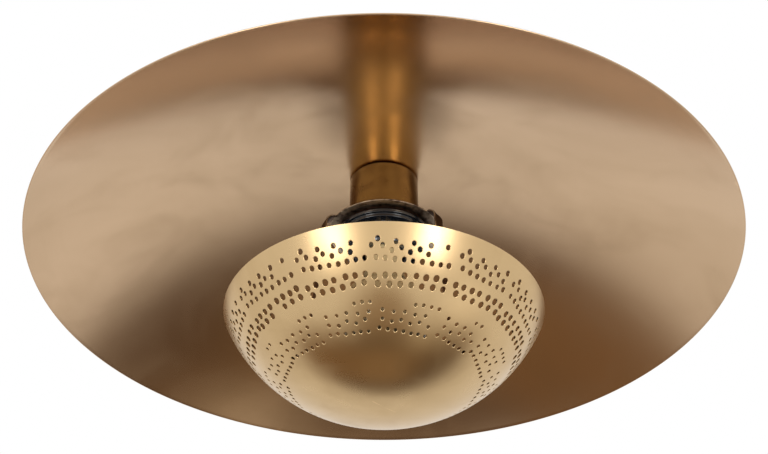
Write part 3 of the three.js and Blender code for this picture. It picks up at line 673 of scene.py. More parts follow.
def loft(rings: Sequence[Sequence[Vector]], closed: bool = False) -> Shape:
    """Skins a row of rings; a ring of one point is a pole.

    Args:
        rings: Points of each ring, the same number in each but the poles.
        closed: Whether the last ring joins the first.

    Returns:
        The skin.
    """
    made = Shape()
    starts = []
    for ring in rings:
        starts.append((len(made.points), len(ring)))
        made.points += [Vector(p) for p in ring]
    count = max(len(ring) for ring in rings)
    last = len(rings) if closed else len(rings) - 1
    for i in range(last):
        (a, first), (b, second) = starts[i], starts[(i + 1) % len(rings)]
        for j in range(count):
            k = (j + 1) % count
            if first == 1 and second == 1:
                break
            if first == 1:
                made.faces.append((a, b + j, b + k))
            elif second == 1:
                made.faces.append((a + j, b, a + k))
            else:
                made.faces.append((a + j, b + j, b + k, a + k))
    return made


def circle(radius: float, height: float, sides: int) -> list[Vector]:
    """Points on a circle round Z, or one point on the axis where the radius is 0."""
    if radius < 1e-9:
        return [Vector((0, 0, height))]
    return [polar(radius, TURN * j / sides, height) for j in range(sides)]


def lathe(outline: Sequence[Pair], sides: int = 96, closed: bool = True) -> Shape:
    """Turns an outline of radius and height pairs round Z."""
    return loft([circle(r, z, sides) for r, z in outline], closed)


def arc(centre: Pair, radius: float, start: float, end: float, steps: int) -> list[Pair]:
    """Points on an arc from one angle in degrees to another."""
    angles = [math.radians(start + (end - start) * i / steps) for i in range(steps + 1)]
    return [(centre[0] + radius * math.cos(a), centre[1] + radius * math.sin(a)) for a in angles]


def filleted(points: Sequence[Pair], radius: float, closed: bool = True, steps: int = 4) -> list[Pair]:
    """Rounds the corners of an outline.

    Args:
        points: The outline's corners.
        radius: Radius of each round.
        closed: Whether the outline closes on itself.
        steps: Steps in each round.

    Returns:
        The rounded outline.
    """
    ring = [Vector(p) for p in points]
    made: list[Pair] = []
    for i, corner in enumerate(ring):
        to_last, to_next = ring[i - 1] - corner, ring[(i + 1) % len(ring)] - corner
        loose = not closed and i in (0, len(ring) - 1)
        angle = math.pi if loose else to_last.angle(to_next)
        if angle > math.radians(STRAIGHT_FROM):
            made.append(tuple(corner))
            continue
        back = min(radius / math.tan(angle / 2), 0.49 * to_last.length, 0.49 * to_next.length)
        size = back * math.tan(angle / 2)
        middle = (to_last.normalized() + to_next.normalized()).normalized()
        centre = corner + middle * (size / math.sin(angle / 2))
        first = corner + to_last.normalized() * back - centre
        final = corner + to_next.normalized() * back - centre
        start = math.atan2(first.y, first.x)
        sweep = (math.atan2(final.y, final.x) - start + math.pi) % TURN - math.pi
        made += arc(tuple(centre), size, math.degrees(start), math.degrees(start + sweep), steps)
    return made


def threaded(root: float, crest: float, pitch: float, low: float, high: float, sides: int = 64) -> Shape:
    """Wall with a round-cut thread, plain at both ends.

    Args:
        root: Radius at the thread's root.
        crest: Radius at its crest.
        pitch: Rise of one turn.
        low: Lower end.
        high: Upper end.
        sides: Steps round.

    Returns:
        The open wall, whose ends are circles of the root's radius.
    """
    steps = 8
    rows = steps * (math.ceil((high - low) / pitch) + 1)
    made = Shape()
    for i in range(rows + steps + 1):
        for j in range(sides):
            height = low + pitch * (i / steps - 1 + j / sides)
            wave = 0.5 - 0.5 * math.cos(TURN * i / steps)
            ease = min(1.0, max(0.0, min(height - low, high - height) / (0.5 * pitch)))
            radius = root + (crest - root) * wave * ease
            made.points.append(polar(radius, TURN * j / sides, min(max(height, low), high)))
    for i in range(rows):
        for j in range(sides):
            k, up = ((j + 1), 0) if j + 1 < sides else (0, steps)
            face = (i * sides + j, (i + up) * sides + k, (i + up + 1) * sides + k, (i + 1) * sides + j)
            made.faces.append(face)
    return made


def nut(across: float, bottom: float, top: float, hole: float) -> Shape:
    """Hexagonal nut with its corners turned off.

    Args:
        across: Width across the flats.
        bottom: Lower face.
        top: Upper face.
        hole: Radius of the hole.

    Returns:
        The nut.
    """
    sides = 96
    corner = across / math.sqrt(3)
    rise = (top - bottom) * 0.14
    mouth = 0.3 * MM

    def ring(limit: float, height: float) -> list[Vector]:
        """Hexagon cut off by a circle."""
        points = []
        for j in range(sides):
            angle = TURN * j / sides
            flat = across / 2 / math.cos((angle + TURN / 12) % (TURN / 6) - TURN / 12)
            points.append(polar(min(flat, limit), angle, height))
        return points

    limits = [across / 2 * 0.96 + (corner - across / 2) * k / 3 for k in range(3)] + [corner]
    low = [ring(limit, bottom + rise * k / 3) for k, limit in enumerate(limits)]
    high = [ring(limit, top - rise * k / 3) for k, limit in enumerate(limits)]
    bore = [(hole + mouth, top), (hole, top - mouth), (hole, bottom + mouth), (hole + mouth, bottom)]
    inner = [circle(radius, height, sides) for radius, height in bore]
    return loft([inner[-1], *low, *reversed(high), *inner[:-1]], closed=True)


def block(low: Sequence[float], high: Sequence[float]) -> Shape:
    """Box between its lowest and its highest corner."""
    x, y, z = zip(low, high)
    outline = [(x[0], y[0]), (x[1], y[0]), (x[1], y[1]), (x[0], y[1])]
    made = loft([[Vector((*p, level)) for p in outline] for level in z])
    made.faces += [(3, 2, 1, 0), (4, 5, 6, 7)]
    return made


def beside(line: Sequence[Pair], i: int) -> Vector:
    """Direction square to a flat line at one of its points."""
    along = Vector(line[min(i + 1, len(line) - 1)]) - Vector(line[max(i - 1, 0)])
    return Vector((-along.y, along.x)).normalized()


def strip(line: Sequence[Pair], width: float, thickness: float) -> Shape:
    """Flat strip that follows a line in the XZ plane.

    Args:
        line: The strip's middle line.
        width: Its width along Y.
        thickness: Its thickness.

    Returns:
        The strip.
    """
    rings = []
    for i, point in enumerate(line):
        side = beside(line, i) * thickness / 2
        low, high = Vector(point) - side, Vector(point) + side
        corners = ((low, -1), (low, 1), (high, 1), (high, -1))
        rings.append([Vector((p.x, y * width / 2, p.y)) for p, y in corners])
    made = loft(rings)
    end = 4 * (len(rings) - 1)
    made.faces += [(0, 1, 2, 3), (end + 3, end + 2, end + 1, end)]
    return made


def softened(points: Sequence[Sequence[float]], steps: int = 8) -> list[Vector]:
    """Smooth line through points.

    Args:
        points: Points to pass through.
        steps: Steps between two of them.

    Returns:
        The line's points.
    """
    line = [Vector(p) for p in points]
    ends = [line[0] * 2 - line[1], *line, line[-1] * 2 - line[-2]]
    made = []
    for i in range(len(line) - 1):
        a, b, c, d = ends[i:i + 4]
        square, cube = 2 * a - 5 * b + 4 * c - d, 3 * b - a - 3 * c + d
        for t in (k / steps for k in range(steps)):
            made.append(0.5 * (2 * b + (c - a) * t + square * t ** 2 + cube * t ** 3))
    return [*made, line[-1]]


def hose(line: Sequence[Vector], radius: float, sides: int = 14) -> Shape:
    """Round tube or wire along a line, closed at both ends.

    Args:
        line: Points on its middle line.
        radius: Its radius.
        sides: Steps round.

    Returns:
        The tube.
    """
    side = (line[1] - line[0]).orthogonal().normalized()
    angles = [TURN * j / sides for j in range(sides)]
    rings = [[line[0]]]
    for i, point in enumerate(line):
        along = (line[min(i + 1, len(line) - 1)] - line[max(i - 1, 0)]).normalized()
        side = (side - along * side.dot(along)).normalized()
        up = along.cross(side)
        rings.append([point + (side * math.cos(a) + up * math.sin(a)) * radius for a in angles])
    rings.append([line[-1]])
    return loft(rings)


def carved(shape: Shape, tools: Sequence[Shape], name: str, sharp: float = SHARP_FROM) -> bpy.types.Mesh:
    """Cuts shapes out of a shape.

    Args:
        shape: Shape to cut.
        tools: Shapes to take out of it.
        name: Name of the result.
        sharp: Angle in degrees from which an edge stays sharp.

    Returns:
        The cut mesh.
    """
    body = placed(name, shape.mesh(name))
    cutters = []
    for tool in tools:
        cutter = placed("cutter", tool.mesh("cutter"))
        cut = body.modifiers.new("cut", "BOOLEAN")
        cut.object = cutter
        cut.operation = "DIFFERENCE"
        cut.solver = "EXACT"
        cutters.append(cutter)
    bpy.context.view_layer.update()
    graph = bpy.context.evaluated_depsgraph_get()
    made = bpy.data.meshes.new_from_object(body.evaluated_get(graph))
    for piece in (body, *cutters):
        bpy.data.objects.remove(piece)
    work = bmesh.new()
    work.from_mesh(made)
    bmesh.ops.remove_doubles(work, verts=work.verts, dist=WELD)
    bmesh.ops.dissolve_limit(work, angle_limit=math.radians(0.5), verts=work.verts, edges=work.edges)
    smooth(work, sharp)
    work.to_mesh(made)
    work.free()
    return made


def round_edges(
    piece: bpy.types.Object, width: float, segments: int, angle: float = 40.0
) -> bpy.types.Modifier:
    """Rounds a piece's edges.

    Args:
        piece: The piece.
        width: Width of a rounded edge.
        segments: Steps across it.
        angle: Angle in degrees from which an edge is rounded.

    Returns:
        The modifier.
    """
    made = piece.modifiers.new("rounded_edges", "BEVEL")
    made.width = width
    made.segments = segments
    made.limit_method = "ANGLE"
    made.angle_limit = math.radians(angle)
    return made


def show(
    name: str,
    form: Shape | bpy.types.Mesh,
    finish: Finish,
    body: str,
    *nodes: str,
    bevel: float = 0.0,
    sharp: float = SHARP_FROM,
) -> bpy.types.Object:
    """Makes a piece, dresses it and lets it ride on a body.

    Args:
        name: The piece's name.
        form: Its shape or mesh.
        finish: Its finish.
        body: Body that it rides on.
        *nodes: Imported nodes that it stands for.
        bevel: Width of its rounded edges.
        sharp: Angle in degrees from which an edge stays sharp.

    Returns:
        The piece.
    """
    mesh = form.mesh(name, sharp) if isinstance(form, Shape) else form
    mesh.materials.clear()
    mesh.materials.append(finish.material())
    piece = placed(name, mesh)
    if bevel:
        round_edges(piece, bevel, 3).harden_normals = True
    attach(piece, body)
    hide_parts(*nodes)
    LOG.info("%s rides on %s", name, body)
    return piece


def dress(nodes: dict[str, bpy.types.Object], name: str, finish: Finish, bevel: float = 0.0) -> None:
    """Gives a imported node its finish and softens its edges.

    Args:
        nodes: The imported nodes.
        name: Node to dress.
        finish: Its finish.
        bevel: Width of its rounded edges.
    """
    piece = nodes[name]
    piece.data.materials.clear()
    piece.data.materials.append(finish.material())
    if bevel:
        round_edges(piece, bevel, 2)
    LOG.info("%s keeps its packed shape", name)


@dataclass(frozen=True)
class ScrewSize:
    """Sizes of a slotted screw.

    Attributes:
        radius: Outer radius of the thread.
        length: Length under the head.
        head_radius: Radius of the head.
        head: Height of the head.
        slot: Width of the slot.
    """

    radius: float
    length: float
    head_radius: float
    head: float
    slot: float


SIDE_SCREW = ScrewSize(2 * MM, 9 * MM, 4 * MM, 2.4 * MM, 1.0 * MM)
TERMINAL_SCREW = ScrewSize(1.5 * MM, 3.6 * MM, 2.4 * MM, 1.5 * MM, 0.6 * MM)
BLOCK_SCREW = ScrewSize(1.2 * MM, 12 * MM, 1.9 * MM, 1.4 * MM, 0.5 * MM)
EARTH_SCREW = ScrewSize(1.5 * MM, 6 * MM, 2.8 * MM, 1.6 * MM, 0.7 * MM)


def screw(size: ScrewSize, seat: float, name: str) -> bpy.types.Mesh:
    """Slotted screw, head up on Z, with a rolled thread.

    Args:
        size: The screw's sizes.
        seat: Height of the head's underside.
        name: Name of the mesh.

    Returns:
        The screw's mesh.
    """
    sides = 48
    root, tip = size.radius * 0.8, seat - size.length
    made = threaded(root, size.radius, max(0.5 * MM, size.radius * 0.4), tip, seat, sides)
    made.add(lathe([(0, tip), (root, tip)], sides, closed=False))
    wide, head = size.head_radius, size.head
    angles = [math.radians(10 * k) for k in range(9)]
    dome = [(wide * math.cos(a), seat + head * (0.35 + 0.65 * math.sin(a))) for a in angles]
    cap = [(root, seat), (wide * 0.97, seat), (wide, seat + head * 0.12), *dome, (0, seat + head)]
    made.add(lathe(cap, sides, closed=False))
    reach, half = wide * 1.1, size.slot / 2
    slot = block((-reach, -half, seat + head * 0.5), (reach, half, seat + head * 1.5))
    return carved(made, [slot], name)


def washer(name: str, hole: float, edge: float, steps: int) -> Shape:
    """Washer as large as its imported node, whose edges have a radius."""
    radius, low, high = sizes_of(name)
    outline = [(hole, low), (radius, low), (radius, high), (hole, high)]
    return lathe(filleted(outline, edge, steps=steps))


def sizes_of(name: str) -> tuple[float, float, float]:
    """Largest radius along X or Y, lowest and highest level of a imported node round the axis."""
    low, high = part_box(name)
    return max(high.x, -low.x, high.y, -low.y), low.z, high.z


# Sub-assemblies


@dataclass
class Dish:
    """Wide spun dish, a flat round middle in a cap of a sphere, and the cup under it."""

    radius: float = 230 * MM
    depth: float = 75 * MM
    thickness: float = 1.0 * MM
    flat_radius: float = 27 * MM
    hole: float = ROD_HOLE
    cup_radius: float = 23.2 * MM
    cup_wall: float = 0.8 * MM
    cup_round: float = 1.4 * MM

    def sheet(self) -> Shape:
        """The dish: two caps of spheres with a rounded rim."""
        _, _, top = sizes_of("dish")
        under = top - self.thickness
        rise = (self.radius ** 2 - self.flat_radius ** 2 + self.depth ** 2) / (2 * self.depth)
        sphere = math.hypot(self.flat_radius, rise)
        centre = (0.0, under - rise)
        start = 90 - math.degrees(math.asin(self.flat_radius / sphere))
        end = 90 - math.degrees(math.asin(self.radius / sphere))
        lower = arc(centre, sphere, start, end, 90)
        upper = arc(centre, sphere + self.thickness, end, start, 90)
        upper[-1] = (self.flat_radius, top)
        middle = arc(centre, sphere + self.thickness / 2, end, end, 1)[0]
        rim = arc(middle, self.thickness / 2, end - 165, end - 15, 6)
        return lathe([(self.hole, under), *lower, *rim, *upper, (self.hole, top)], 360)

    def cup(self) -> Shape:
        """The cup: a straight wall with a round shoulder and a turned-in edge."""
        _, low, high = sizes_of("cup")
        outer = [(self.hole, high), (self.cup_radius, high), (self.cup_radius, low)]
        inside, under = self.cup_radius - self.cup_wall, high - self.cup_wall
        inner = [(inside, low), (inside, under), (self.hole, under)]
        rounded = filleted(outer, self.cup_round, closed=False, steps=8)
        return lathe(filleted([*rounded, *inner], 0.15 * MM, steps=2), 192)

    def build(self) -> None:
        """Builds the dish and the cup."""
        show("spun_dish", self.sheet(), DISH_BRASS, "canopy", "dish", sharp=40)
        show("drawn_cup", self.cup(), SHADED_CUP_BRASS, "canopy", "cup", sharp=40)


@dataclass(frozen=True)
class Row:
    """A row of holes in one stamp of the pattern; angles in degrees, lengths in millimetres.

    Attributes:
        first: Angle of the first hole from the stamp's edge.
        pitch: Angle from one hole to the next.
        along: Length from the rim at the row's first hole.
        radius: Radius of the holes.
        sag: How much lower the row's middle lies.
        slope: How much lower its end lies than its start.
        odd: How much lower every second hole lies.
        pause: Angle added after every fourth hole.
        end: Share of the stamp's width at which the row ends.
    """

    first: float
    pitch: float
    along: float
    radius: float
    sag: float = 0.0
    slope: float = 0.0
    odd: float = 0.0
    pause: float = 0.0
    end: float = 0.96

    def places(self, width: float) -> list[Pair]:
        """Angle and length from the rim of each hole.

        Args:
            width: The stamp's width.

        Returns:
            The places.
        """
        made = []
        i = 0
        while (turn := self.first + self.pitch * i + self.pause * (i // 4)) < width * self.end:
            share = turn / width
            hump = 4 * share * (1 - share)
            made.append((turn, self.along + self.sag * hump + self.slope * share + self.odd * (i % 2)))
            i += 1
        return made


@dataclass
class Bowl:
    """Perforated bowl, a cap of a sphere with a flat spot under it and bands of punched holes.

    Attributes:
        radius: Outer radius at the rim.
        depth: Depth from the rim to the bottom of the sphere.
        thickness: Thickness of the sheet.
        flat: Radius of the flat spot.
        flat_ease: Share of that radius over which the spot grows flat.
        flat_depth: How flat it gets, 0 to 1.
        hole_sides: Points round a hole.
        roll: Width of a hole's rolled edge.
        sink: How far the roll dips into the hole.
        lean: How far the normals on the roll lean into the hole.
        stretch: Width and length of a hole as shares of its size.
        bottom: Length of the plain bottom along the section.
        bottom_rows: Rows of faces in it.
        seam: Angle at the back where the sheet's two sides meet.
        columns: Steps round the sheet's edges and round the grid between the holes.
        grid_rows: Rows of that grid.
        unrolled: Length of one radian in the unrolled sheet.
        seed: Seed of the unevenness.
        gap: Least distance between two holes.
        margin: Least distance from a hole to the seam and to the grid.
        lift: How far a band may lie off its place in a stamp, in millimetres.
        unevenness: How far a hole may lie off its place, in millimetres.
        sizes: Least and largest share of its row's radius that a hole has.
        missed: Share of the holes that were missed.
        bands: Lengths from the rim that part the three bands, in millimetres.
        widths: Widths of the stamps in degrees; they go round three times.
        first_stamp: Angle at which the first one starts.
        rows: Rows of holes in a stamp.
    """

    radius: float = 101.8 * MM
    depth: float = 64.6 * MM
    thickness: float = 0.9 * MM
    flat: float = 15 * MM
    flat_ease: float = 0.8
    flat_depth: float = 0.25
    hole_sides: int = 12
    roll: float = 0.42 * MM
    sink: float = 0.16 * MM
    lean: float = 1.3
    stretch: Pair = (0.94, 1.05)
    bottom: float = 22 * MM
    bottom_rows: int = 22
    seam: float = math.radians(90)
    columns: tuple[int, int] = (180, 120)
    grid_rows: int = 28
    unrolled: float = 80 * MM
    seed: int = 11
    gap: float = 1.0 * MM
    margin: float = 0.9 * MM
    lift: float = 0.5
    unevenness: float = 0.3
    sizes: Pair = (0.92, 1.08)
    missed: float = 0.02
    bands: Pair = (25.0, 42.0)
    widths: tuple[float, ...] = (33.0, 28.0, 33.0, 26.0)
    first_stamp: float = 206.0
    rows: tuple[Row, ...] = (
        Row(2.2, 6.2, 9.2, 1.5, sag=2.4),
        Row(3.6, 3.3, 13.2, 1.45, sag=1.6, odd=2.0, end=0.8),
        Row(-0.3, 99.0, 13.4, 1.45),
        Row(1.2, 3.45, 19.8, 1.45, sag=2.2),
        Row(0.6, 3.9, 31.2, 1.8, sag=0.3, slope=-2.0, pause=0.8),
        Row(1.7, 4.5, 35.8, 1.78, sag=1.0, slope=-1.8),
        Row(18.5, 3.8, 47.4, 1.0, slope=-1.0),
        Row(3.6, 5.3, 50.9, 1.05, odd=0.9, slope=2.0, end=0.9),
        Row(3.2, 4.9, 56.4, 1.08, odd=1.7, slope=0.8, end=0.93),
        Row(1.8, 4.4, 62.0, 1.12, sag=1.2, slope=2.4),
    )

    def __post_init__(self) -> None:
        """Works out the sphere from the rim and the depth."""
        _, low, _ = sizes_of("bowl")
        self.sphere = (self.radius ** 2 + self.depth ** 2) / (2 * self.depth)
        self.rim_angle = math.asin(self.radius / self.sphere)
        self.centre = low + self.sphere
        self.length = self.sphere * self.rim_angle

    def reach(self, along: float) -> float:
        """Radius round the axis at a length along the section from the rim."""
        return self.sphere * math.sin(self.rim_angle - along / self.sphere)

    def drop(self, reach: float) -> float:
        """How far the flat spot lies above the sphere at a radius."""
        if reach >= self.flat:
            return 0.0
        level = self.sphere - math.sqrt(self.sphere ** 2 - self.flat ** 2)
        share = min(1.0, (self.flat - reach) / (self.flat_ease * self.flat))
        own = self.sphere - math.sqrt(self.sphere ** 2 - reach ** 2)
        return (level - own) * share * share * (3 - 2 * share) * self.flat_depth

    def normal(self, turn: float, along: float) -> Vector:
        """Outward direction at a place on the bowl."""
        slope = self.rim_angle - along / self.sphere
        reach = self.sphere * math.sin(slope)
        step = 0.1 * MM
        rise = (self.drop(reach + step) - self.drop(max(reach - step, 0.0))) / (2 * step)
        made = polar(math.sin(slope), turn, -math.cos(slope))
        return (made + polar(1, turn, 0) * rise * math.cos(slope)).normalized()

    def spot(self, turn: float, along: float, inset: float = 0.0) -> Vector:
        """Point on the bowl, at a depth under its outer face."""
        slope = self.rim_angle - along / self.sphere
        sphere = self.sphere - inset
        level = self.centre - sphere * math.cos(slope) + self.drop(self.sphere * math.sin(slope))
        return polar(sphere * math.sin(slope), turn, level)

    def holes(self) -> list[tuple[float, float, float]]:
        """Turn, length from the rim and radius of each hole, with some of the hand's unevenness."""
        chance = random.Random(self.seed)
        off = self.unevenness
        made: list[tuple[float, float, float]] = []
        start = self.first_stamp
        for width in self.widths * 3:
            lift = [chance.uniform(-self.lift, self.lift) for _ in range(len(self.bands) + 1)]
            for row in self.rows:
                band = sum(row.along >= limit for limit in self.bands)
                for turn, along in row.places(width):
                    along = (along + lift[band] + chance.uniform(-off, off)) * MM
                    turn = math.radians(start + turn)
                    turn += chance.uniform(-off, off) * MM / self.reach(along)
                    size = row.radius * MM * chance.uniform(*self.sizes)
                    if chance.random() > self.missed and self.is_free(made, turn, along, size):
                        made.append((turn, along, size))
            start += width
        return made

    def is_free(
        self, holes: list[tuple[float, float, float]], turn: float, along: float, size: float
    ) -> bool:
        """Whether a hole keeps clear of the others and of the seam."""
        edge = (turn - self.seam) % TURN
        if min(edge, TURN - edge) * self.reach(along) < size + self.margin:
            return False
        for other, level, radius in holes:
            apart = abs((turn - other + math.pi) % TURN - math.pi) * self.reach(along)
            if math.hypot(apart, along - level) < size + radius + self.gap:
                return False
        return True

    def flat_pattern(self) -> tuple[list[Pair], list[Pair], list[int], list[tuple[int, int]]]:
        """The sheet unrolled to turn and length, both in metres.

        Returns:
            Points, the direction of each towards its hole's middle, the hole ring of each (-1 for none)
            and the edges that the sheet keeps.
        """
        points: list[Pair] = []
        inward: list[Pair] = []
        ring_of: list[int] = []
        edges: list[tuple[int, int]] = []
        found = self.holes()
        wide, long = self.stretch
        for index, (turn, along, radius) in enumerate(found):
            middle = ((turn - self.seam) % TURN) * self.unrolled
            for ring, size in ((2 * index, radius), (2 * index + 1, radius + self.roll)):
                first = len(points)
                for k in range(self.hole_sides):
                    angle = TURN * (k + 0.5 * (ring % 2)) / self.hole_sides
                    across = wide * size * math.sin(angle) / self.reach(along) * self.unrolled
                    points.append((middle + across, along - long * size * math.cos(angle)))
                    inward.append((-math.sin(angle), math.cos(angle)) if ring % 2 == 0 else (0.0, 0.0))
                    ring_of.append(ring)
                edges += [(first + k, first + (k + 1) % self.hole_sides) for k in range(self.hole_sides)]
        low, rows = self.length - self.bottom, self.grid_rows
        for row in range(rows + 1):
            along = low * row / rows
            count = self.columns[0 if row in (0, rows) else 1]
            for column in range(count + 1):
                turn = TURN * column / count
                free = all(
                    abs(along - v) > r + self.margin
                    or abs(turn - (t - self.seam) % TURN) * self.reach(v) > r + self.margin
                    for t, v, r in found
                )
                if free or column in (0, count) or row in (0, rows):
                    points.append((turn * self.unrolled, along))
                    inward.append((0.0, 0.0))
                    ring_of.append(-1)
        return points, inward, ring_of, edges

    def mesh(self) -> bpy.types.Mesh:
        """The bowl's mesh: two sheets, the holes' walls and the rim, with true normals."""
        points, inward, ring_of, edges = self.flat_pattern()
        flat = delaunay_2d_cdt([Vector(p) for p in points], edges, [], HULL_TRIANGLES, WELD)
        corners, faces, sources = flat[0], flat[2], flat[3]
        origin = [source[0] if source else -1 for source in sources]
        outer: list[Vector] = []
        inner: list[Vector] = []
        facing: list[Vector] = []
        walls: list[Vector] = []
        for corner, source in zip(corners, origin):
            turn, along = corner.x / self.unrolled + self.seam, corner.y
            normal = self.normal(turn, along)
            east = Vector((-math.sin(turn), math.cos(turn), 0))
            south = east.cross(normal)
            south = -south if south.z > 0 else south
            pull = inward[source] if source >= 0 else (0.0, 0.0)
            towards = east * pull[0] + south * pull[1]
            on_edge = pull != (0.0, 0.0)
            outer.append(self.spot(turn, along, self.sink if on_edge else 0.0))
            inner.append(self.spot(turn, along, self.thickness))
            facing.append((normal + towards * (self.lean if on_edge else 0.0)).normalized())
            walls.append(towards)
        count = len(outer)
        all_points = outer + inner
        all_faces: list[tuple[int, ...]] = []
        normals: list[Vector] = []
        used: set[tuple[int, int]] = set()
        for face in faces:
            rings = {ring_of[origin[i]] if origin[i] >= 0 else -1 for i in face}
            ring = rings.pop() if len(rings) == 1 else -1
            if ring >= 0 and ring % 2 == 0:
                continue
            a, b, c = face
            side = (outer[b] - outer[a]).cross(outer[c] - outer[a]).dot(facing[a])
            a, b, c = (a, b, c) if side > 0 else (a, c, b)
            all_faces.append((a, b, c))
            normals += [facing[a], facing[b], facing[c]]
            all_faces.append((count + a, count + c, count + b))
            normals += [-self.plain(inner[i]) for i in (a, c, b)]
            used |= {(a, b), (b, c), (c, a)}
        ends = (1e-9, TURN * self.unrolled - 1e-9)
        for a, b in used:
            on_seam = all(not ends[0] < corners[i].x < ends[1] for i in (a, b))
            at_bottom = all(corners[i].y > self.length - self.bottom - 1e-6 for i in (a, b))
            if (b, a) in used or on_seam or at_bottom:
                continue
            all_faces.append((b, a, count + a, count + b))
            top = [walls[i] if walls[i].length > 0.5 else Vector((0, 0, 1)) for i in (b, a)]
            normals += [top[0], top[1], top[1], top[0]]
        self.close_bottom(all_points, all_faces, normals)
        made = bpy.data.meshes.new("punched_bowl")
        made.from_pydata(all_points, [], all_faces)
        made.shade_smooth()
        made.normals_split_custom_set([tuple(n) for n in normals])
        return made

    def plain(self, point: Vector) -> Vector:
        """Outward direction at a point of the bowl, without the flat spot."""
        return (point - Vector((0, 0, self.centre))).normalized()

    def close_bottom(
        self, points: list[Vector], faces: list[tuple[int, ...]], normals: list[Vector]
    ) -> None:
        """Adds the plain bottom to both sheets.

        Args:
            points: The bowl's points, added to.
            faces: Its faces, added to.
            normals: The normal at each face's corners, added to.
        """
        sides, rows = self.columns[0], self.bottom_rows
        for inset, sign in ((0.0, 1), (self.thickness, -1)):
            first = len(points)
            facing: dict[int, Vector] = {}
            for row in range(rows + 1):
                along = self.length - self.bottom * (1 - row / rows)
                for j in range(sides if row < rows else 1):
                    turn = TURN * j / sides + self.seam
                    facing[len(points)] = self.normal(turn, along) * sign
                    points.append(self.spot(turn, along, inset))
            for row in range(rows):
                for j in range(sides):
                    a, b = first + row * sides + j, first + row * sides + (j + 1) % sides
                    below = (a + sides, b + sides) if row + 1 < rows else (first + rows * sides,)
                    face = (a, *below, b)
                    side = (points[face[1]] - points[face[0]]).cross(points[face[2]] - points[face[0]])
                    face = face if side.dot(facing[face[0]]) > 0 else face[::-1]
                    faces.append(face)
                    normals += [facing[i] for i in face]

    def build(self) -> None:
        """Builds the bowl."""
        mesh = self.mesh()
        LOG.info("%d faces in the bowl", len(mesh.polygons))
        show("punched_bowl", mesh, BOWL_BRASS, "shade", "bowl")


